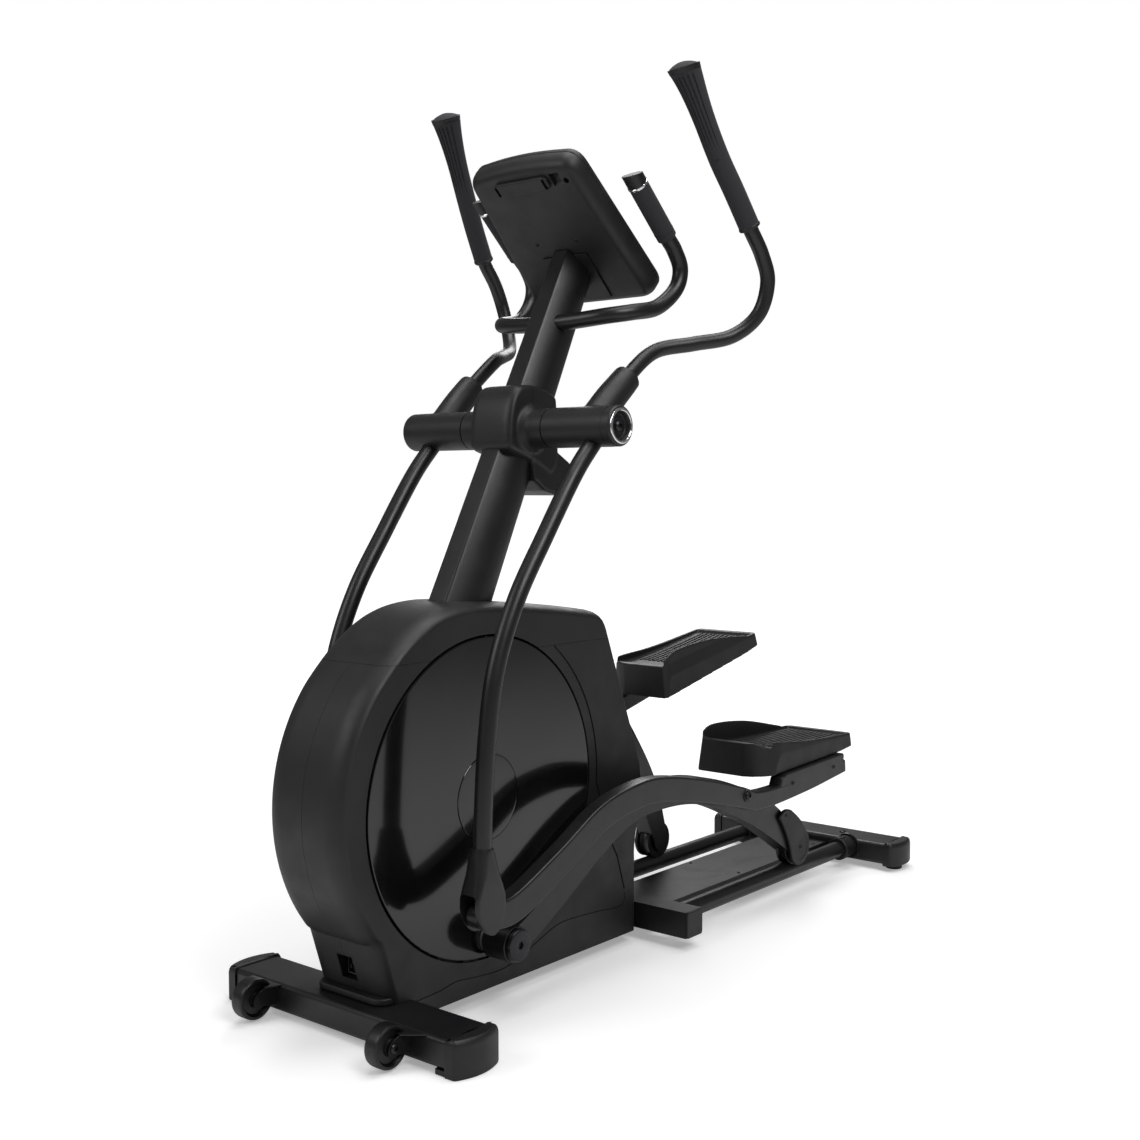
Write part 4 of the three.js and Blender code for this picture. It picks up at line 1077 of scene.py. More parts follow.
@dataclass
class PivotShroud:
    """The moulded shroud round the swing axis, in a front and a rear half, with a small tray behind."""

    half: float = 52.0
    pivot_z: float = 1037.0
    boss_r: float = 37.0
    boss_end: float = 99.6

    def outline(self) -> list[Point2]:
        """The shroud seen from the side, as [y, z] offsets from the swing axis."""
        points = [(-66.0, -26.0)]
        points += quadratic((-66, -26), (-66, 63), (-30, 80), 10)
        points += quadratic((-30, 80), (36, 90), (74, 62), 10)
        points += quadratic((74, 62), (80, 10), (80, -37), 6)
        points += quadratic((80, -37), (78, -80), (52, -88), 6)
        points += quadratic((52, -88), (0, -58), (-46, -46), 6)
        points += quadratic((-46, -46), (-66, -42), (-66, -26), 6)[:-1]
        return resample(points, 96)

    def crowned(self, outline: Sequence[Point2], half: float, crown: float, drop: float) -> bpy.types.Object:
        """A solid whose side faces are rounded towards its outline.

        Args:
            outline: [y, z] offsets from the swing axis.
            half: half width.
            crown: width of the rounding.
            drop: how far the edge is drawn in.

        Returns:
            The new object.
        """
        rings = []
        steps = 7
        stations = [(half - crown + crown * math.sin(QUARTER * i / steps),
                     drop * (1 - math.cos(QUARTER * i / steps))) for i in range(steps + 1)]
        for x, by in [(-x, by) for x, by in reversed(stations)] + stations:
            rings.append([(x, y, z + self.pivot_z) for y, z in inset(outline, by)])
        return loft(rings)

    def build(self, builder: Builder, mast: Mast) -> None:
        """Makes the two halves, the bosses and the tray.

        Args:
            builder: finishes the pieces.
            mast: the mast that passes through.
        """
        body = self.crowned(self.outline(), self.half, 18, 9)
        tray = self.crowned(resample([(0, -40), (10, -96), (40, -116), (78, -125), (104, -125), (122, -120),
                                      (140, -103), (149, -85), (112, -60), (78, -41)], 80), 50, 10, 4)
        boss = rod(-self.boss_end - 6, self.boss_end + 6, self.boss_r + 0.4, (0, self.pivot_z), 72)
        root = turned([(-self.half - 14, 0), (-self.half - 14, self.boss_r), (-self.half, self.boss_r + 9),
                       (self.half, self.boss_r + 9), (self.half + 14, self.boss_r), (self.half + 14, 0)],
                      (0, self.pivot_z), 72)
        body = blended([body, tray, boss, root], 2.0, 12)
        for side in (1, -1):
            trim(body, (side * self.boss_end, 0, 0), (side, 0, 0))
        hollow = side_plate([(y, z + self.pivot_z) for y, z in
                             [(86, -10), (86, -100), (94, -112), (112, -116), (126, -110), (136, -96),
                              (142, -78), (150, -10)]], -44, 44)
        soften(hollow, 5, 4, 40)
        bore = rod(-120, 120, AXLE_BORE, (0, self.pivot_z), 32)
        carve(body, hollow, mast.solid(0.6), bore)
        front = copied(body)
        trim(front, (0, -0.3, 0), (0, 1, 0))
        builder.fixed(front, "shroud_front_half", CAP_PLASTIC, ["shroud_front"])
        trim(body, (0, 0.3, 0), (0, -1, 0))
        builder.fixed(body, "shroud_rear_half", CAP_PLASTIC, ["shroud_rear"])


@dataclass
class PulseBar:
    """The fixed handlebar with its sensor grips."""

    radius: float = 15.5
    grip_r: float = 19.5
    centre: Point2 = (121.2, 1245.0)
    half_path: tuple[Point3, ...] = (
        (60, -13, 1), (128, 1, 7), (163, 39, 15), (176, 101, 29), (187, 147, 67), (190, 159, 107),
        (190, 139, 141), (190, 115, 162), (190, 59, 212), (190, 11, 254),
    )
    grip_path: tuple[Point3, ...] = ((190, 115, 162), (190, 59, 212), (190, 3, 262))

    def at(self, point: Point3) -> Point3:
        """A point seen from the swing axis's plane."""
        x, y, z = point
        return x, y + self.centre[0], z + self.centre[1]

    def build(self, builder: Builder) -> None:
        """Makes the bar, the grips, their chrome bands and end caps."""
        left = [self.at(p) for p in self.half_path]
        right = [(-x, y, z) for x, y, z in reversed(left)]
        path = smooth_path([*right, self.at((0, -17, 0)), *left], 180)
        bar = loft(tube_rings(path, lambda _: circle_points(self.radius, 36)))
        soften(bar, 2, 2, 60)
        builder.fixed(bar, "fixed_bar", POWDER_COAT, ["pulse_bar"])
        axis = smooth_path([self.at(p) for p in self.grip_path], 60)
        grip = loft(tube_rings(axis[:52], self.grip_section))
        self.one_side(builder, grip, "pulse_grip_foam", GRIP_FOAM, ["pulse_grip"])[0]
        for name, share, length, radius, finish in (("pulse_band", 0.84, 0.035, 20.9, CHROME),
                                                    ("pulse_band_low", 0.1, 0.02, 20.0, CAP_PLASTIC)):
            start = Vector(axis[int(share * 60)])
            end = Vector(axis[int(share * 60)]).lerp(Vector(axis[-1]), length / (1 - share))
            band = loft(tube_rings([start.lerp(end, i / 6) for i in range(7)],
                                   lambda t, r=radius: circle_points(r - 1.2 * abs(2 * t - 1) ** 4, 48)))
            self.one_side(builder, band, name, finish)
        top = Vector(axis[-1])
        along = (top - Vector(axis[-2])).normalized()
        cap = loft(tube_rings([top + along * i for i in range(-20, 13)],
                              lambda _: circle_points(19.7, 48)))
        trim(cap, tuple(top + along * 2), (0, -0.4, 0.92))
        soften(cap, 1.6, 3, 50)
        self.one_side(builder, cap, "pulse_cap", CAP_PLASTIC)

    def grip_section(self, t: float) -> list[Point2]:
        """A round section, drawn in at both ends."""
        ease = 1 - 0.12 * max(0.0, 1 - min(t, 1 - t) * 40) ** 2
        return circle_points(self.grip_r * ease, 48)

    def one_side(self, builder: Builder, piece: bpy.types.Object, name: str, finish: Finish,
                 replaces: Sequence[str] = ()) -> list[bpy.types.Object]:
        """Finishes a left piece and its twin on the standing frame."""
        builder.pair(piece, name, "frame", finish, builder.standing, replaces)
        return [bpy.data.objects[f"{name}_left"], bpy.data.objects[f"{name}_right"]]


# ---------------------------------------------------------------- console
@dataclass
class Console:
    """The console on top of the mast, drawn flat: x across, y down the face, z out of the face."""

    tilt: float = 0.748
    middle: Point2 = (151.8, 1432.0)
    length: float = 335.0
    top_w: float = 260.0
    low_w: float = 304.0
    back: float = 34.0
    button_y: float = 58.0
    buttons: ClassVar[dict[str, float]] = {"start": 0.0, "plus": 58.0, "minus": -58.0}

    def outline(self) -> list[Point2]:
        """The face seen from the front."""
        half, top, low, r = self.length / 2, self.top_w / 2, self.low_w / 2, 34
        points = [(-top + r, -half)]
        points += quadratic((-top + r, -half), (0, -half - 12), (top - r, -half), 16)
        points += quadratic((top - r, -half), (top, -half), (top + 3, -half + r), 10)
        points += [(low, half - r)]
        points += quadratic((low, half - r), (low, half), (low - r, half), 10)
        points += [(-low + r, half)]
        points += quadratic((-low + r, half), (-low, half), (-low, half - r), 10)
        points += [(-top - 3, -half + r)]
        points += quadratic((-top - 3, -half + r), (-top, -half), (-top + r, -half), 10)[:-1]
        return resample(points, 160)

    def stack(self, levels: Sequence[Point2]) -> bpy.types.Object:
        """A solid from the outline at several heights.

        Args:
            levels: [inset, z] of each level.

        Returns:
            The new object.
        """
        return loft([[(x, y, z) for x, y in inset(self.outline(), by)] for by, z in levels])

    def matrix(self, builder: Builder) -> Matrix:
        """Places the console on the mast."""
        y, z = self.middle
        at = Vector((0, y + builder.layout.pivot[0], z)) * MM
        return Matrix.Translation(at) @ Matrix.Rotation(-self.tilt, 4, "X")

    def put(self, builder: Builder, piece: bpy.types.Object, name: str, finish: Finish,
            replaces: Sequence[str] = (), body: str = "frame") -> None:
        """Places and finishes a piece of the console."""
        aim(piece, self.matrix(builder))
        builder.done(piece, name, body, finish, replaces)

    def build(self, builder: Builder) -> None:
        """Makes the shells, the display, the ledge and the buttons."""
        back = self.stack([(0.2, -0.6), (0, -2), (0.2, -9), (1.2, -16), (3.2, -22), (6.2, -27), (10, -30.8),
                           (14.5, -33), (19, -34)])
        grip = plate([(u, v - 132, -30) for u, v in rounded_box(66, 15, 13, 8)], (0, 0, -12))
        soften(grip, 4, 4, 40)
        carve(back, grip, how="UNION")
        for x in (-58, 58):
            carve(back, plate([(x + u, v - 132, -46) for u, v in rounded_box(3.4, 11, 3.2, 6)], (0, 0, 10)))
        bite = rod(72, 94, 15, (-134, -40), 48)
        hole = plate([(104 + u, v - 128, -44) for u, v in circle_points(6, 32)], (0, 0, 18))
        seat = plate([(u, v + 93, -37) for u, v in rounded_box(58, 58, 6, 5)], (0, 0, 3.9))
        carve(back, bite, hole, seat)
        soften(back, 0.9, 2, 40)
        self.put(builder, back, "console_back_shell", HOUSING_PLASTIC, ["console_back"])
        pad = plate([(u, v + 93, -37.4) for u, v in rounded_box(56.4, 56.4, 5, 5)], (0, 0, 4))
        soften(pad, 1, 2, 40)
        self.put(builder, pad, "console_seat_plate", CAP_PLASTIC)
        screws = merged([self.back_screw(x, y) for x, y in ((-50, 4), (50, 4))])
        self.put(builder, screws, "console_screws", BLACK_STEEL)
        self.build_face(builder)

    def back_screw(self, x: float, y: float) -> bpy.types.Object:
        """A screw on the back face."""
        piece = screw(0, (0, 0), 4)
        aim(piece, Matrix.Translation(Vector((x, y, -33.6)) * MM) @ Matrix.Rotation(QUARTER, 4, "Y"))
        return piece

    def build_face(self, builder: Builder) -> None:
        """Makes the front bezel, the display, the ledge and the buttons."""
        front = self.stack([(2.5, 0.2), (0.6, 1.4), (0, 4), (0.4, 9), (2, 12.4), (5, 14)])
        recess = plate([(u, v - 52, 8.2) for u, v in rounded_box(105.6, 66.6, 9)], (0, 0, 12))
        carve(front, recess)
        for x in self.buttons.values():
            carve(front, plate([(x + u, self.button_y + v, 4.5) for u, v in circle_points(10.6, 40)],
                               (0, 0, 20)))
        soften(front, 1.0, 2, 45)
        self.put(builder, front, "console_bezel", HOUSING_PLASTIC, ["console_front"])
        cover = plate([(u, v - 52, 8.5) for u, v in rounded_box(105, 66, 8.5)], (0, 0, 4.4))
        soften(cover, 0.8, 2, 45)
        self.put(builder, cover, "display_cover", GLASS_BLACK, ["display_lens"])
        legend = merged([plate([(u + x, v + y, 12.9) for u, v in rounded_box(w, 0.8, 0.7, 2)], (0, 0, 0.15))
                         for x, y, w in ((-62, -84, 24), (0, -84, 24), (62, -84, 24), (-62, -28, 24),
                                         (0, -28, 24), (62, -28, 24), (0, -56, 88))])
        self.put(builder, legend, "display_legend", PRINT_WHITE)
        ledge = plate([(u, v + 123, 12) for u, v in rounded_box(98, 5, 4.5, 4)], (0, 0, 13))
        soften(ledge, 1.6, 3, 40)
        self.put(builder, ledge, "book_ledge", CAP_PLASTIC)
        for label, x in self.buttons.items():
            self.build_button(builder, label, x)

    def build_button(self, builder: Builder, label: str, x: float) -> None:
        """Makes one round button with a dished top.

        Args:
            builder: finishes the piece.
            label: name of the button.
            x: its place across the console.
        """
        rings = [[(x + u, self.button_y + v, z) for u, v in circle_points(r, 40)]
                 for r, z in ((9.9, 6.2), (9.9, 15.2), (9.5, 16.1), (8.6, 16.5), (7.4, 16.3), (3, 15.7))]
        button = loft(rings)
        self.put(builder, button, f"button_{label}_key", WHEEL_RUBBER, [f"button_{label}"], f"button_{label}")


# ---------------------------------------------------------------- swing arms
@dataclass
class SwingArm:
    """A swing arm with its sleeve, handle, grip and cap, drawn round the swing axis."""

    tube_r: float = 16.0
    handle_r: float = 14.5
    grip_r: float = 20.0
    arm_x: float = 204.0
    clevis: Point2 = (-310.0, -823.0)
    clevis_levels: tuple[tuple[float, float, float, float], ...] = (  # z, front, rear, corner radius
        (112, -16, 21, 17), (104, -18, 23, 17), (72, -22, 30, 15), (50, -29, 38, 12), (32, -34, 43, 10),
        (15, -34, 43, 9), (0, -29, 40, 8), (-12, -22, 35, 7), (-20, -15, 30, 6), (-26, -7, 23, 5),
        (-30, 1, 15, 3), (-31, 5, 11, 2),
    )
    sleeve_r: float = 37.0
    sleeve_x: Point2 = (101.0, 240.0)
    lower: tuple[Point2, ...] = ((0, 0.024), (-62, 0.102), (-142, 0.231), (-220, 0.365), (-272, 0.504),
                                 (-294, 0.644), (-303, 0.778), (-306, 0.87))
    upper: tuple[Point3, ...] = (
        (196, 46, 48), (196, 106, 99), (204, 178, 148), (244, 248, 165), (286, 316, 182), (322, 354, 224),
        (341, 357, 284), (342, 334, 333), (339, 296, 379), (329, 256, 442), (317, 217, 505), (307, 178, 580),
        (302, 146, 644),
    )
    grip_path: tuple[Point3, ...] = ((339, 296, 379), (329, 256, 442), (317, 217, 505), (307, 178, 580),
                                     (301, 142, 664))
    socket: tuple[Point3, ...] = ((192, 12, 14), (194, 50, 51), (196, 80, 77), (197, 100, 94))

    def round_tube(self, points: Sequence[Point3], radius: float, samples: int) -> bpy.types.Object:
        """A round tube along a curve."""
        return loft(tube_rings(smooth_path(points, samples), lambda _: circle_points(radius, 36)))

    def lower_tube(self, radius: float) -> bpy.types.Object:
        """The bowed tube down to the clevis."""
        points = [(self.arm_x, y, share * self.clevis[1]) for y, share in self.lower]
        return self.round_tube(points, radius, 70)

    def build(self, builder: Builder) -> None:
        """Makes all pieces of both arms."""
        self.build_arm(builder)
        self.build_sleeve(builder)
        self.build_cap(builder)
        handle = self.round_tube(self.upper, self.handle_r, 150)
        self.pair(builder, handle, "handle_tube", POWDER_COAT, ["upper_handle"])
        self.build_grip(builder)

    def pair(self, builder: Builder, piece: bpy.types.Object, name: str, finish: Finish,
             replaces: Sequence[str] = ()) -> None:
        """Finishes a left piece and its twin on the swing arms."""
        builder.pair(piece, name, "{}_swing", finish, builder.layout.arm_matrix, replaces)

    def build_arm(self, builder: Builder) -> None:
        """Makes the welded arm: hub, tube, clevis block, weld beads and pin."""
        cy, cz = self.clevis
        start, end = self.sleeve_x
        arm = turned([(start + 2, AXLE_BORE), (start + 2, 21), (end - 2, 21), (end - 2, AXLE_BORE)],
                     (0, 0), 48)
        rings = []
        for z, front, rear, corner in self.clevis_levels:
            wide = min(22.0, 19.5 + (112 - z) * 0.1)
            section = rounded_box(wide, (rear - front) / 2, corner, 6)
            rings.append([(self.arm_x + u, cy + (front + rear) / 2 + v, cz + z) for u, v in section])
        block = loft(rings)
        slot = side_plate([(cy - 90, cz - 60), (cy + 90, cz - 60), (cy + 90, cz + 46), (cy - 90, cz + 38)],
                          self.arm_x - 17, self.arm_x + 17)
        soften(slot, 7, 4, 60)
        carve(block, slot)
        soften(block, 1.2, 2, 50)
        bead = turned([(-3, 14), (-1.5, 18.4), (1.5, 18.4), (3, 14)], (0, 0), 40)
        aim(bead, Matrix.Translation(Vector((self.arm_x, cy + 3, cz + 111.5)) * MM)
            @ Matrix.Rotation(QUARTER, 4, "Y"))
        tube = self.lower_tube(self.tube_r)
        carve(arm, tube, block, bead, how="UNION")
        self.pair(builder, arm, "swing_tube", POWDER_COAT, ["swing_arm"])
        pin = rod(self.arm_x - 21.5, self.arm_x + 21.5, 8, self.clevis, 40)
        self.pair(builder, pin, "clevis_pin", BLACK_STEEL)

    def build_sleeve(self, builder: Builder) -> None:
        """Makes the moulded sleeve with the blended handle socket."""
        (start, end), r = self.sleeve_x, self.sleeve_r
        body = rod(start - 6, end + 6, r + 0.3, (0, 0), 72)
        socket = loft(tube_rings(smooth_path(self.socket, 24), lambda t: circle_points(30 - 3.5 * t, 40)))
        sleeve = blended([body, socket], 1.8, 8)
        trim(sleeve, (start + 1, 0, 0), (-1, 0, 0))
        trim(sleeve, (end, 0, 0), (1, 0, 0))
        carve(sleeve, rod(start - 1, end + 1, 21.4, (0, 0), 48),
              self.lower_tube(self.tube_r + 0.6), self.round_tube(self.upper, self.handle_r + 0.5, 150))
        self.pair(builder, sleeve, "sleeve", CAP_PLASTIC, ["arm_sleeve"])

    def build_cap(self, builder: Builder) -> None:
        """Makes the end cap with its chrome ring and recessed bolt."""
        x, r = self.sleeve_x[1] + 0.4, self.sleeve_r
        cap = turned([(x, 0), (x, r), (x + 15, r), (x + 17.5, r - 1), (x + 19, r - 3), (x + 19.4, r - 4.5),
                      (x + 19.4, r - 11.5), (x + 18, r - 12.5), (x + 12, 22.5), (x + 11, 21), (x + 11, 0)],
                     (0, 0), 80)
        self.pair(builder, cap, "end_cap", CAP_PLASTIC, ["pivot_cap"])
        ring = turned([(x + 18.6, r - 10.4), (x + 20.6, r - 10), (x + 21.6, r - 9), (x + 21.8, r - 7.4),
                       (x + 21.6, r - 6), (x + 20.6, r - 4.8), (x + 18.6, r - 4.4)], (0, 0), 96)
        self.pair(builder, ring, "chrome_ring", CHROME)
        washer = turned([(x + 10.6, 0), (x + 10.6, 17), (x + 12.4, 17), (x + 12.8, 16.4), (x + 12.8, 0)],
                        (0, 0), 56)
        self.pair(builder, washer, "cap_washer", BLACK_STEEL)
        self.pair(builder, screw(x + 12.7, (0, 0), 9.5), "cap_bolt", BLACK_STEEL)

    def grip_section(self, t: float) -> list[Point2]:
        """The grip's section: grooved lengthwise in front, and flared forwards and inwards at its top."""
        over = max(0.0, (t - 0.6) / 0.4) ** 2.4
        ease = min(1.0, math.sqrt(max(0.03, min(t / 0.012, (1 - t) / 0.03))))
        fade = max(0.0, min(1.0, (t - 0.5) / 0.12, (0.945 - t) / 0.02))
        points = []
        for u, v in circle_points(self.grip_r * (1 + 0.62 * over) * ease, 144):
            off_front = math.degrees(math.atan2(u, -v))
            groove = abs(off_front) < 66 and abs((off_front + 9) % 18 - 9) < 3.6
            share = 1 - 0.085 * fade if groove else 1.0
            points.append((u * share - 8 * over, v * share - 11 * over))
        return points

    def build_grip(self, builder: Builder) -> None:
        """Makes the foam grip, the rim of its flared end, its collar and its set screw."""
        axis = smooth_path(self.grip_path, 300)
        grip = loft(tube_rings(axis, self.grip_section))
        self.pair(builder, grip, "grip_foam", GRIP_FOAM, ["hand_grip"])
        for side in Side:
            bpy.data.objects[f"grip_foam_{side.label}"]
        collar = loft(tube_rings(axis[:8], lambda t: circle_points(21.2 - 1.6 * abs(2 * t - 1) ** 3, 44)))
        self.pair(builder, collar, "grip_collar", CAP_PLASTIC)
        rim = loft(tube_rings(axis[285:294], lambda t: [(u * 1.012, v * 1.012)
                                                       for u, v in self.grip_section(0.95 + 0.02 * t)]))
        self.pair(builder, rim, "grip_rim", CAP_PLASTIC)
        set_screw = screw(0, (0, 0), 4.2)
        middle = axis[138]
        aim(set_screw, Matrix.Translation((middle + Vector((6, -18.6, 0))) * MM)
            @ Matrix.Rotation(math.radians(-72), 4, "Z"))
        self.pair(builder, set_screw, "grip_screw", BLACK_STEEL)


# ---------------------------------------------------------------- pedal arms, pedals, links
def ribbon(stations: Sequence[Point3], samples: int = 80, round_end: bool = False) -> list[Point2]:
    """The outline of a curved bar of changing width.

    Args:
        stations: [y, z, half width] along the bar.
        samples: steps along it.
        round_end: whether its far end is round as well as its near end.

    Returns:
        The closed outline as [y, z] points.
    """
    spine = smooth_path([(half, y, z) for y, z, half in stations], samples)
    upper, lower = [], []
    for i, at in enumerate(spine):
        before, after = spine[max(i - 1, 0)], spine[min(i + 1, samples)]
        dy, dz = after.y - before.y, after.z - before.z
        size = math.hypot(dy, dz)
        ny, nz = -dz / size * at.x, dy / size * at.x
        upper.append((at.y + ny, at.z + nz))
        lower.append((at.y - ny, at.z - nz))
    first, last = spine[0], spine[-1]
    start = math.atan2(upper[0][1] - first.z, upper[0][0] - first.y)
    nose = arc((first.y, first.z), first.x, start + math.pi, start, 20)[1:-1]
    nose = [(2 * first.y - y, 2 * first.z - z) for y, z in nose[::-1]] if nose[10][0] > first.y else nose
    tail = []
    if round_end:
        heading = math.atan2(upper[-1][1] - last.z, upper[-1][0] - last.y)
        tail = arc((last.y, last.z), last.x, heading, heading - math.pi, 20)[1:-1]
    return upper + tail + lower[::-1] + nose


@dataclass
class PedalArm:
    """A pedal arm with its pedal, drawn round the clevis pin."""

    x: Point2 = (188.0, 220.0)
    knee: Point2 = (800.0, 70.0)
    stations: tuple[Point3, ...] = (
        (0, 0, 22), (0.094, -2, 25), (0.256, 54, 25), (0.4, 111, 25), (0.538, 132, 25), (0.644, 129, 25),
        (0.806, 104, 24), (0.975, 69, 22), (1.075, 49, 20), (1.313, 54, 17), (1.534, 69, 15),
    )
    low: float = 88.0
    front: float = 883.0
    rear: float = 1279.0
    pedal_x: Point2 = (34.0, 209.0)
    wall: float = 9.0
    rib_step: float = 12.5

    def pair(self, builder: Builder, piece: bpy.types.Object, name: str, finish: Finish,
             replaces: Sequence[str] = (), angle: float = 32) -> None:
        """Finishes a left piece and its twin on the pedal arms."""
        builder.pair(piece, name, "{}_pedal_arm", finish, builder.layout.pedal_matrix, replaces, angle)

    def build(self, builder: Builder) -> None:
        """Makes the arm, its bolt and the pedal."""
        x0, x1 = self.x
        stations = [(share * self.knee[0], z, half) for share, z, half in self.stations]
        arm = side_plate(ribbon(stations), x0, x1)
        soften(arm, 4.5, 4, 40)
        boss = turned([(158, 0), (158, 16), (159, 17), (195, 17), (195, 0)], self.knee, 48)
        top = self.low - 0.4
        y0, y1 = self.front + 80, self.rear - 80
        seat = side_plate([(y0, top + 2.6), (y1, top + 11), (y1, top + 5), (y0, top - 4)], 72, 190)
        web = side_plate([(y0 - 30, self.knee[1] - 8), (y1 + 14, self.knee[1] - 4), (y1 + 20, top + 4),
                          (y1 + 18, top + 11.6), (y0, top + 2.6), (y0 - 20, top - 4)], x0 + 0.4, x1 - 0.3)
        soften(web, 3, 3, 40)
        carve(arm, boss, seat, web, how="UNION")
        carve(arm, rod(174, 234, 8.4, (0, 0), 40))
        self.pair(builder, arm, "pedal_beam", POWDER_COAT, ["pedal_arm"])
        washer = turned([(x1 - 0.1, 0), (x1 - 0.1, 14), (x1 + 1.8, 14), (x1 + 2.2, 13.5), (x1 + 2.2, 0)],
                        self.knee, 48)
        self.pair(builder, washer, "knee_washer", BLACK_STEEL)
        self.pair(builder, screw(x1 + 2, self.knee, 9.5), "knee_bolt", BLACK_STEEL)
        plugs = merged([screw(x1 - 0.2, spot, 4.5) for spot in ((y0 + 24, 66), (y1 - 30, 74))])
        self.pair(builder, plugs, "pedal_screws", BLACK_STEEL)
        self.build_pedal(builder)

    def plan(self) -> bpy.types.Object:
        """The pedal seen from above as a tall solid, its outer front corner rounded."""
        (inner, outer), f, r = self.pedal_x, self.front, self.rear
        points = [(inner, f + 30)]
        points += quadratic((inner, f + 30), (inner, f), (inner + 30, f), 10)
        points += [(outer - 90, f)]
        points += quadratic((outer - 90, f), (outer, f + 6), (outer, f + 80), 18)
        points += [(outer, r - 20)]
        points += quadratic((outer, r - 20), (outer, r), (outer - 20, r), 8)
        points += [(inner + 20, r)]
        points += quadratic((inner + 20, r), (inner, r), (inner, r - 20), 8)
        points = resample(points, 160)
        return loft([[(x, y, self.low + z) for x, y in inset(points, by)]
                     for z, by in ((-20, -5.5), (4, -5.5), (74, 3.5), (140, 3.5))])

    def side_curve(self, points: Sequence[Point2], samples: int = 24) -> list[Point2]:
        """A smooth [y, z] line through points."""
        return [(p.y, p.z) for p in smooth_path([(0, *p) for p in points], samples)]

    def build_pedal(self, builder: Builder) -> None:
        """Makes the pedal tray, its guard, tread insert and ribs."""
        (inner, outer), low, f, r = self.pedal_x, self.low, self.front, self.rear
        under = [(f, low), (r - 59, low + 13), (r, low + 19)]
        rim = self.side_curve([(r - 1, low + 50), (f + 200, low + 58), (f + 60, low + 72), (f + 8, low + 72)])
        guard = self.side_curve([(r - 50, low + 55), (f + 190, low + 87), (f + 60, low + 97),
                                 (f + 10, low + 84)])
        tray = side_plate([*under, *rim], inner, outer)
        fence = side_plate([*under, *guard], inner, inner + self.wall)
        carve(tray, fence, how="UNION")
        carve(tray, self.plan(), how="INTERSECT")
        floor = self.side_curve([(f + 12, low + 76), (f + 44, low + 61), (f + 96, low + 51),
                                 (f + 190, low + 46), (r - 18, low + 44)], 40)
        well = side_plate([(f + 10, low + 120), *floor, (r - 12, low + 120)],
                          inner + self.wall, outer - self.wall)
        soften(well, 5, 4, 40)
        carve(tray, well)
        under_room = side_plate([(f + 30, low - 8), (f + 30, low + 30), (r - 40, low + 34),
                                 (r - 40, low + 12.4)], inner + 12, 68)
        carve(tray, under_room)
        tray = blended([tray], 1.7, 6)
        self.pair(builder, tray, "pedal_tray", CAP_PLASTIC, ["pedal"], 38)
        mat_floor = [(y, z + 2.2) for y, z in self.side_curve([(f + 108, low + 50), (f + 190, low + 46),
                                                                (r - 28, low + 44.2)])]
        ribs = []
        x = inner + self.wall + 12
        while x < outer - self.wall - 8:
            ribs.append(side_plate([(y, z - 3) for y, z in mat_floor] + mat_floor[::-1], x - 3.2, x + 3.2))
            x += self.rib_step
        rib_set = merged(ribs)
        soften(rib_set, 1.1, 2, 50)
        self.pair(builder, rib_set, "pedal_ribs", TREAD_RUBBER)


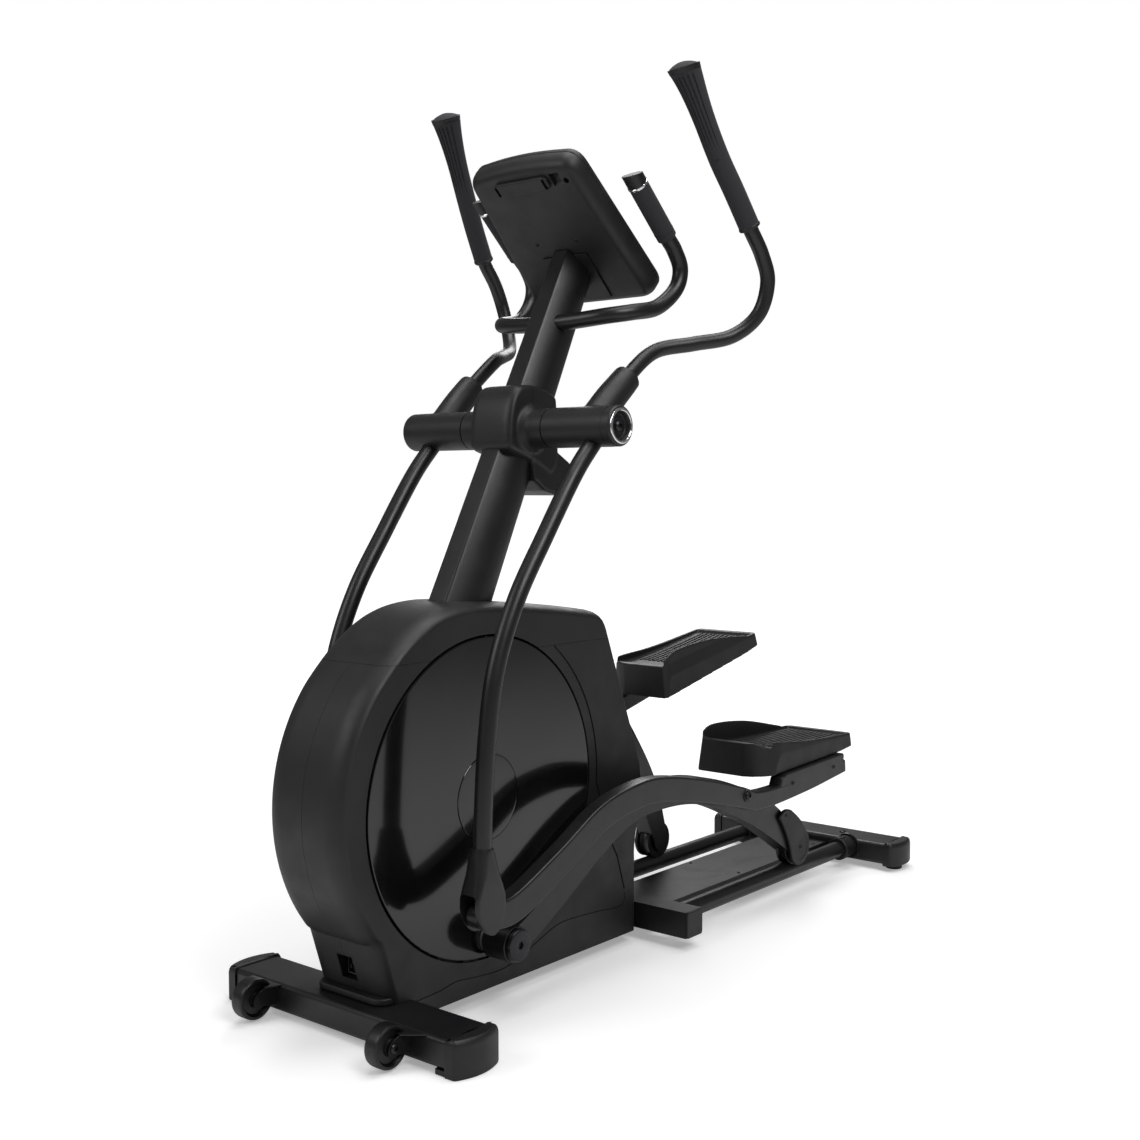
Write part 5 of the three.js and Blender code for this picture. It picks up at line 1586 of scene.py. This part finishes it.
@dataclass
class RollerLink:
    """A roller link with its barrel, pin cap, roller and cover, drawn round the crank pin."""

    x: Point2 = (117.0, 157.0)
    axle: Point2 = (978.0, -16.6)
    stations: tuple[Point3, ...] = (
        (0, 0, 24), (0.055, 24, 25), (0.137, 69, 25), (0.258, 139, 25), (0.37, 181, 25), (0.513, 188, 27),
        (0.641, 166, 29), (0.789, 111, 33), (0.892, 59, 34),
    )
    rail_x: float = 137.0
    rail_r: float = 19.0
    roller_r: float = 36.0

    def pair(self, builder: Builder, piece: bpy.types.Object, name: str, finish: Finish,
             replaces: Sequence[str] = (), body: str = "{}_link") -> None:
        """Finishes a left piece and its twin on the roller links."""
        builder.pair(piece, name, body, finish, builder.layout.link_matrix, replaces)

    def build(self, builder: Builder) -> None:
        """Makes the link and all it carries."""
        x0, x1 = self.x
        stations = [(share * self.axle[0], z, half) for share, z, half in self.stations]
        link = side_plate(ribbon([*stations, (*self.axle, 24)], 80, True), x0, x1)
        eye = side_plate(arc(self.axle, 26, 0, 2 * math.pi, 48)[:-1], x0, x1)
        carve(link, eye, how="UNION")
        soften(link, 5, 4, 45)
        room = rod(self.rail_x - 15.5, self.rail_x + 15.5, 44, self.axle, 60)
        carve(link, room)
        barrel = turned([(x0 - 12, 0), (x0 - 12, 30.5), (x0 - 10.5, 32), (x1 + 1.5, 32), (x1 + 3, 30.5),
                         (x1 + 3, 0)], (0, 0), 72)
        axle = rod(self.rail_x - 17, self.rail_x + 17, 6, self.axle, 32)
        carve(link, barrel, axle, how="UNION")
        carve(link, rod(60, 200, 15.4, (0, 0), 48))
        self.pair(builder, link, "link_beam", POWDER_COAT, ["roller_link"])
        self.build_pin(builder)
        self.build_roller(builder)
        self.build_cover(builder)

    def build_pin(self, builder: Builder) -> None:
        """Makes the crank pin with its capped end and hexagon socket."""
        at = self.x[1] + 3.4
        pin = turned([(94.5, 0), (94.5, 15), (at, 15), (at, 28), (at + 1.5, 29.2), (at + 7, 29.2),
                      (at + 9.6, 27.6), (at + 10.8, 24), (at + 11, 12), (at + 10.4, 10.5), (at + 10.4, 0)],
                     (0, 0), 72)
        carve(pin, side_plate(circle_points(7.5, 6), at + 6, at + 14))
        self.pair(builder, pin, "pin_cap", BLACK_STEEL, ["crank_pin"])
        washer = turned([(94.7, 15.2), (94.7, 25), (104.4, 25), (104.4, 15.2)], (0, 0), 48)
        self.pair(builder, washer, "pin_washer", STEEL)

    def build_roller(self, builder: Builder) -> None:
        """Makes the grooved roller that runs on the rail."""
        groove, half = self.rail_r + 0.4, 13
        rim = [(x, self.roller_r + groove - math.sqrt(groove ** 2 - x * x))
               for x in (half * (2 * i / 16 - 1) for i in range(1, 16))]
        top = rim[0][1] + 2.4
        profile = [(-half, 6.4), (-half, 14), (-half + 3, 16), (-half + 3, 27), (-half, 29), (-half, top - 1),
                   (-half + 1, top), *rim[1:-1], (half - 1, top), (half, top - 1), (half, 29),
                   (half - 3, 27), (half - 3, 16), (half, 14), (half, 6.4)]
        roller = turned([(x + self.rail_x, r) for x, r in profile], self.axle, 80)
        self.pair(builder, roller, "rail_roller", WHEEL_RUBBER, ["roller"], "{}_roller")

    def build_cover(self, builder: Builder) -> None:
        """Makes the moulded cover outside the roller, with its screws."""
        ay, az = self.axle
        outline = arc((ay, az), 42, -2.6, 0.9, 40)
        outline += quadratic(outline[-1], (ay + 10, az + 62), (ay - 40, az + 92), 8)
        outline += quadratic((ay - 40, az + 92), (ay - 72, az + 106), (ay - 92, az + 84), 8)
        outline += quadratic((ay - 92, az + 84), (ay - 50, az + 34), (ay - 38, az - 14), 8)
        cover = side_plate(resample(outline, 120), self.x[1] + 0.4, self.x[1] + 9)
        soften(cover, 3.2, 5, 60)
        dish = rod(self.x[1] + 8.2, self.x[1] + 12, 30, self.axle, 60)
        carve(cover, dish)
        soften(cover, 0.6, 2, 60)
        self.pair(builder, cover, "wheel_cover", HOUSING_PLASTIC, ["roller_cover"])
        screws = merged([screw(self.x[1] + 7.6, spot, 5) for spot in ((ay, az), (ay - 66, az + 84))])
        self.pair(builder, screws, "cover_screws", BLACK_STEEL)


# ---------------------------------------------------------------- floor frame
@dataclass
class FloorFrame:
    """Rails, end caps, wheels and feet of the standing frame."""

    rail_x: float = 137.0
    rail_r: float = 19.0
    rail_z: float = 49.0
    rail_y: Point2 = (340.4, 1052.0)
    depth: float = 100.0
    front: Point3 = (-406.0, 0.0, 63.0)
    rear: Point3 = (1134.0, 13.0, 69.0)
    front_half: float = 262.0
    rear_half: float = 232.0
    cap_len: float = 38.0
    wheel: Point2 = (-494.0, 40.0)
    wheel_x: float = 168.0
    wheel_r: float = 36.0
    foot_x: float = 236.0

    def build(self, builder: Builder) -> None:
        """Makes the pieces of the floor frame."""
        self.build_tubes(builder)
        self.build_rails(builder)
        self.build_caps(builder)
        self.build_wheels(builder)
        self.build_feet(builder)
        self.build_hardware(builder)

    def along_y(self, profile: Sequence[Point2], x: float, z: float, steps: int = 56) -> bpy.types.Object:
        """A [y, radius] profile turned round an axis along Y."""
        piece = turned(profile, (0, 0), steps)
        aim(piece, Matrix.Translation(Vector((x, 0, z)) * MM) @ Matrix.Rotation(QUARTER, 4, "Z"))
        return piece

    def build_rails(self, builder: Builder) -> None:
        """Makes the rails and the screw on each rear collar."""
        (y0, y1), r = self.rail_y, self.rail_r
        rail = self.along_y([(y0, 0), (y0, r), (y1, r), (y1, 0)], self.rail_x, self.rail_z, 64)
        builder.pair(rail, "rail_tube", "frame", POWDER_COAT, builder.standing, ["rail"])
        grub = screw(0, (0, 0), 4.2)
        aim(grub, Matrix.Translation(Vector((self.rail_x, 1048, self.rail_z + 28)) * MM)
            @ Matrix.Rotation(-QUARTER, 4, "Y"))
        builder.pair(grub, "collar_screw", "frame", BLACK_STEEL, builder.standing)

    def cap(self, middle: float, low: float, high: float, half: float) -> bpy.types.Object:
        """An end cap: a sleeve round the tube whose outer end bulges in plan.

        Args:
            middle: y of the stabiliser.
            low: underside.
            high: top.
            half: x where the cap starts.

        Returns:
            The new object.
        """
        wide = self.depth / 2 + 3
        plan = [(half + 0.4, -wide), (half + 16, -wide)]
        plan += quadratic((half + 16, -wide), (half + 22, -wide), (half + 25, -wide + 7), 5)
        plan += quadratic((half + 25, -wide + 7), (half + self.cap_len + 9, 0), (half + 25, wide - 7), 28)
        plan += quadratic((half + 25, wide - 7), (half + 22, wide), (half + 16, wide), 5)
        plan += [(half + 0.4, wide)]
        levels = ((low, 2.2), (low + 1.4, 0.6), (low + 4, 0), (high - 12, 0), (high - 6, 1.2),
                  (high - 2.2, 3.4), (high - 0.5, 5.6), (high, 8))
        plan = resample(plan, 140)
        rings = [[(x, middle + y, z) for x, y in inset(plan, by)] for z, by in levels]
        piece = loft(rings)
        trim(piece, (half + 0.4, 0, 0), (-1, 0, 0))
        soften(piece, 0.8, 2, 60)
        return piece

    def tube(self, middle: float, low: float, half: float) -> bpy.types.Object:
        """A stabiliser tube with rounded edges.

        Args:
            middle: y of the tube.
            low: underside.
            half: half length.

        Returns:
            The new object.
        """
        section = [(middle + u, low + 25 + v) for u, v in rounded_box(self.depth / 2, 25, 9, 8)]
        return side_plate(section, -half, half)

    def bracket(self) -> bpy.types.Object:
        """The sheet bracket of a transport wheel: two cheeks under a pointed top flange."""
        y, z = self.wheel
        face = self.front[0] - self.depth / 2
        outline = [(face + 2, 54), (face + 2, 22), (y + 10, z - 13)]
        outline += arc((y + 1, z - 2), 13, -0.9, -math.pi, 8)
        outline += quadratic(outline[-1], (y - 10, z + 12), (y + 14, 58), 8)
        cheeks = [side_plate(outline, self.wheel_x + x, self.wheel_x + x + 2.6) for x in (-18.8, 16.2)]
        x0, x1 = self.wheel_x - 18.8, self.wheel_x + 18.8
        flange = plate([(x0, y + 12, 57), (x1, y + 12, 57), (x1 + 34, face + 2, 57), (x0 - 10, face + 2, 57)],
                       (0, 0, 2.6))
        pin = rod(x0 - 1, x1 + 1, 5, self.wheel, 32)
        whole = merged([*cheeks, flange, pin])
        soften(whole, 0.7, 2, 50)
        return whole

    def build_tubes(self, builder: Builder) -> None:
        """Makes the two stabiliser tubes with what is welded to them."""
        builder.fixed(self.tube(self.front[0], 10, self.front_half), "front_tube", POWDER_COAT,
                      ["front_stabilizer"])
        builder.pair(self.bracket(), "wheel_bracket", "frame", POWDER_COAT, builder.standing)
        rear = self.tube(self.rear[0], 16, self.rear_half)
        builder.fixed(rear, "rear_tube", POWDER_COAT, ["rear_stabilizer"])
        r = self.rail_r
        collar = self.along_y([(1032, r + 0.5), (1032, r + 6.4), (1033.4, r + 7.8), (1064, r + 7.8),
                               (1068, r + 6.4), (1088, r + 6), (1088, r + 0.5)], self.rail_x, self.rail_z)
        ear = plate([(self.rail_x - 8, 1036, self.rail_z + 22), (self.rail_x + 8, 1036, self.rail_z + 22),
                     (self.rail_x + 8, 1060, self.rail_z + 22), (self.rail_x - 8, 1060, self.rail_z + 22)],
                    (0, 0, 6.4))
        soften(ear, 2, 3, 40)
        builder.pair(merged([collar, ear]), "rail_collar", "frame", CAP_PLASTIC, builder.standing)
        weld = self.along_y([(1084.5, 0), (1084.5, 26), (1080.5, 29.5), (1084.5, 31), (1090, 31), (1090, 0)],
                            self.rail_x, self.rail_z)
        trim(weld, (0, 1084.6, 0), (0, 1, 0))
        builder.pair(weld, "collar_weld", "frame", POWDER_COAT, builder.standing)

    def build_caps(self, builder: Builder) -> None:
        """Makes the four end caps."""
        y, low, high = self.front
        front = self.cap(y, low, high, self.front_half)
        builder.pair(front, "front_end_cap", "frame", CAP_PLASTIC, builder.standing, ["front_cap"])
        pad = plate([(u + self.front_half - 12, v + y, 0.2) for u, v in rounded_box(13, 50, 4, 4)],
                    (0, 0, 9.6))
        soften(pad, 1.5, 2, 40)
        builder.pair(pad, "front_pad", "frame", CAP_PLASTIC, builder.standing)
        y, low, high = self.rear
        rear = self.cap(y, low, high, self.rear_half)
        builder.pair(rear, "rear_end_cap", "frame", CAP_PLASTIC, builder.standing, ["rear_cap"])

    def build_wheels(self, builder: Builder) -> None:
        """Makes the transport wheels with their hub caps."""
        half, r = 14, self.wheel_r
        profile = [(-half, 5.4), (-half, 13), (-half + 5, 15), (-half + 6, 26), (-half, 30), (-half, r - 3),
                   (-half + 1.5, r - 0.8), (-half + 3.5, r - 0.2), (-half + 8, r)]
        profile += [(-x, radius) for x, radius in profile[::-1]]
        wheel = turned([(x + self.wheel_x, radius) for x, radius in profile], self.wheel, 80)
        builder.pair(wheel, "wheel_tyre", "transport_wheel_{}", WHEEL_RUBBER, builder.standing,
                     ["transport_wheel"])
        bolts = screw(self.wheel_x + 18.6, self.wheel, 8)
        builder.pair(bolts, "wheel_bolt", "frame", BLACK_STEEL, builder.standing)

    def build_feet(self, builder: Builder) -> None:
        """Makes the screw feet with knurled rims."""
        knurl = []
        for i in range(96):
            angle = 2 * math.pi * i / 96
            radius = 20 - (0.9 if i % 4 > 1 else 0)
            knurl.append((radius * math.cos(angle), radius * math.sin(angle)))
        rings = [[(u * s, v * s, z) for u, v in knurl]
                 for s, z in ((0.9, 0), (0.97, 0.8), (1, 2), (1, 9), (0.96, 10.4), (0.88, 11))]
        foot = loft(rings)
        stem = loft([[(u, v, z) for u, v in circle_points(r, 32)] for r, z in
                     [(6.2 if i % 2 else 7, 9.5 + i * 0.3) for i in range(11)]])
        carve(foot, stem, how="UNION")
        shift(foot, (self.foot_x, self.rear[0], 0))
        builder.pair(foot, "foot_pad", "foot_{}", WHEEL_RUBBER, builder.standing, ["foot"])

    def upright(self, x: float, y: float, z: float, radius: float) -> bpy.types.Object:
        """A screw head facing up."""
        piece = screw(0, (0, 0), radius)
        aim(piece, Matrix.Translation(Vector((x, y, z)) * MM) @ Matrix.Rotation(-QUARTER, 4, "Y"))
        return piece

    def build_hardware(self, builder: Builder) -> None:
        """Adds the bolts of the front plate, the caps of the crossmember and the cover's screws."""
        bolts = merged([self.upright(x, y, 66.3, 9) for x in (-72, 72) for y in (-386, -346)])
        builder.fixed(bolts, "plate_bolts", BLACK_STEEL)
        cap = loft([[(206.2 + a, 313 + u, 52.5 + v) for u, v in rounded_box(27 - b, 26.5 - b, 5, 5)]
                    for a, b in ((0, 1.5), (0, 0.2), (3.4, 0.2), (4.6, 1.6))])
        builder.pair(cap, "crossmember_cap", "frame", CAP_PLASTIC, builder.standing)
        tips = merged([self.upright(66, y, 48.8, 4) for y in (372, 700, 1040)])
        builder.pair(tips, "cover_tips", "frame", BLACK_STEEL, builder.standing)
        seat = self.upright(96, self.rear[0], 65.8, 8)
        builder.pair(seat, "rear_bolts", "frame", BLACK_STEEL, builder.standing)


# ---------------------------------------------------------------- studio
@dataclass
class Studio:
    """Camera, floor and lights.

    Attributes:
        eye: the camera's place in metres.
        azimuth: the camera's turn to its left, in degrees.
        pitch: how far it looks down, in degrees.
        lens: focal length in millimetres.
        sky: brightness of the surroundings as the object sees them.
        floor_side: side of the floor in metres.
        glow_reach: distances at which the floor's glow starts to rise and is full, in metres.
        glow: the floor's glow near the object and far off.
        lamps: name, place, size and power of each lamp.
    """

    eye: Point3 = (1.7984, -2.3497, 0.9249)
    azimuth: float = 39.34
    pitch: float = 3.27
    lens: float = 44.88
    sky: float = 0.17
    floor_side: float = 60.0
    glow_reach: Point2 = (0.8, 5.0)
    glow: Point2 = (0.32, 1.0)
    lamps: tuple[tuple[str, Point3, float, float], ...] = (
        ("key", (3.0, -1.2, 3.6), 1.8, 75), ("front", (-1.6, -3.6, 3.0), 2.0, 40),
        ("rear", (-2.2, 3.0, 3.0), 2.0, 50), ("top", (0.2, 0.2, 4.6), 3.0, 120),
    )

    def build(self) -> None:
        """Sets up the whole studio."""
        camera = bpy.data.objects.new("camera", bpy.data.cameras.new("camera"))
        bpy.context.collection.objects.link(camera)
        camera.data.lens = self.lens
        camera.data.sensor_width = 36
        camera.location = self.eye
        camera.rotation_euler = (math.radians(90 - self.pitch), 0, math.radians(self.azimuth))
        bpy.context.scene.camera = camera
        self.build_floor()
        for name, at, size, power in self.lamps:
            self.lamp(name, at, size, power)
        self.build_sky()
        bpy.context.scene.view_settings.view_transform = "Standard"

    def build_sky(self) -> None:
        """Makes the surroundings white to the camera and dim to the object."""
        world = bpy.context.scene.world or bpy.data.worlds.new("world")
        bpy.context.scene.world = world
        world.use_nodes = True
        nodes, links = world.node_tree.nodes, world.node_tree.links
        seen = nodes.new("ShaderNodeLightPath")
        level = nodes.new("ShaderNodeMapRange")
        level.inputs["To Min"].default_value = self.sky
        level.inputs["To Max"].default_value = 1.0
        nodes["Background"].inputs["Color"].default_value = (1, 1, 1, 1)
        links.new(seen.outputs["Is Camera Ray"], level.inputs["Value"])
        links.new(level.outputs["Result"], nodes["Background"].inputs["Strength"])

    def build_floor(self) -> None:
        """Adds the plain pale floor, which fades into the white surroundings as the camera sees it."""
        deselect()
        bpy.ops.mesh.primitive_plane_add(size=self.floor_side)
        floor = bpy.context.object
        floor.name = "studio_floor"
        paper = bpy.data.materials.new("studio_paper")
        paper.use_nodes = True
        nodes, links = paper.node_tree.nodes, paper.node_tree.links
        shader = nodes["Principled BSDF"]
        shader.inputs["Base Color"].default_value = (0.8, 0.8, 0.8, 1)
        shader.inputs["Roughness"].default_value = 0.9
        shader.inputs["Emission Color"].default_value = (1, 1, 1, 1)
        place = nodes.new("ShaderNodeTexCoord")
        reach = nodes.new("ShaderNodeVectorMath")
        reach.operation = "LENGTH"
        fade = nodes.new("ShaderNodeMapRange")
        fade.interpolation_type = "SMOOTHSTEP"
        values = zip(("From Min", "From Max", "To Min", "To Max"), (*self.glow_reach, *self.glow))
        for socket, value in values:
            fade.inputs[socket].default_value = value
        links.new(place.outputs["Object"], reach.inputs[0])
        links.new(reach.outputs["Value"], fade.inputs["Value"])
        seen = nodes.new("ShaderNodeLightPath")
        glow = nodes.new("ShaderNodeMath")
        glow.operation = "MULTIPLY"
        links.new(fade.outputs["Result"], glow.inputs[0])
        links.new(seen.outputs["Is Camera Ray"], glow.inputs[1])
        links.new(glow.outputs["Value"], shader.inputs["Emission Strength"])
        floor.data.materials.append(paper)

    def lamp(self, name: str, at: Point3, size: float, power: float) -> None:
        """Adds a square area light that points at the object.

        Args:
            name: name of the light.
            at: its place in metres.
            size: its side in metres.
            power: watts.
        """
        light = bpy.data.lights.new(name, "AREA")
        light.size = size
        light.energy = power
        lamp = bpy.data.objects.new(name, light)
        bpy.context.collection.objects.link(lamp)
        lamp.location = at
        lamp.rotation_euler = (Vector((0, 0, 0.8)) - Vector(at)).to_track_quat("-Z", "Y").to_euler()


KEPT = (
    ("base_frame", POWDER_COAT, 2.0), ("beam_cover", POWDER_COAT, 1.2),
    ("crank_axle", STEEL, 0.8), ("drive_pulley", CAP_PLASTIC, 0.8), ("flywheel", CAST_IRON, 1.0),
    ("drive_belt", BELT_RUBBER, 0.4), ("brake_arm", STEEL, 0.8), ("pivot_axle", STEEL, 0.8),
)


def main() -> None:
    """Builds the object and its studio."""
    logging.basicConfig(level=logging.INFO, format="%(message)s")
    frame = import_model()
    builder = Builder(Layout(frame))
    mast = Mast()
    for node, finish, width in KEPT:
        builder.dress_cad(node, finish, width)
    Housing().build(builder, mast)
    CrankDisc().build(builder)
    console = Console()
    mast.build(builder, console)
    PivotShroud().build(builder, mast)
    PulseBar().build(builder)
    console.build(builder)
    SwingArm().build(builder)
    PedalArm().build(builder)
    RollerLink().build(builder)
    FloorFrame().build(builder)
    Studio().build()


if __name__ == "__main__":
    main()
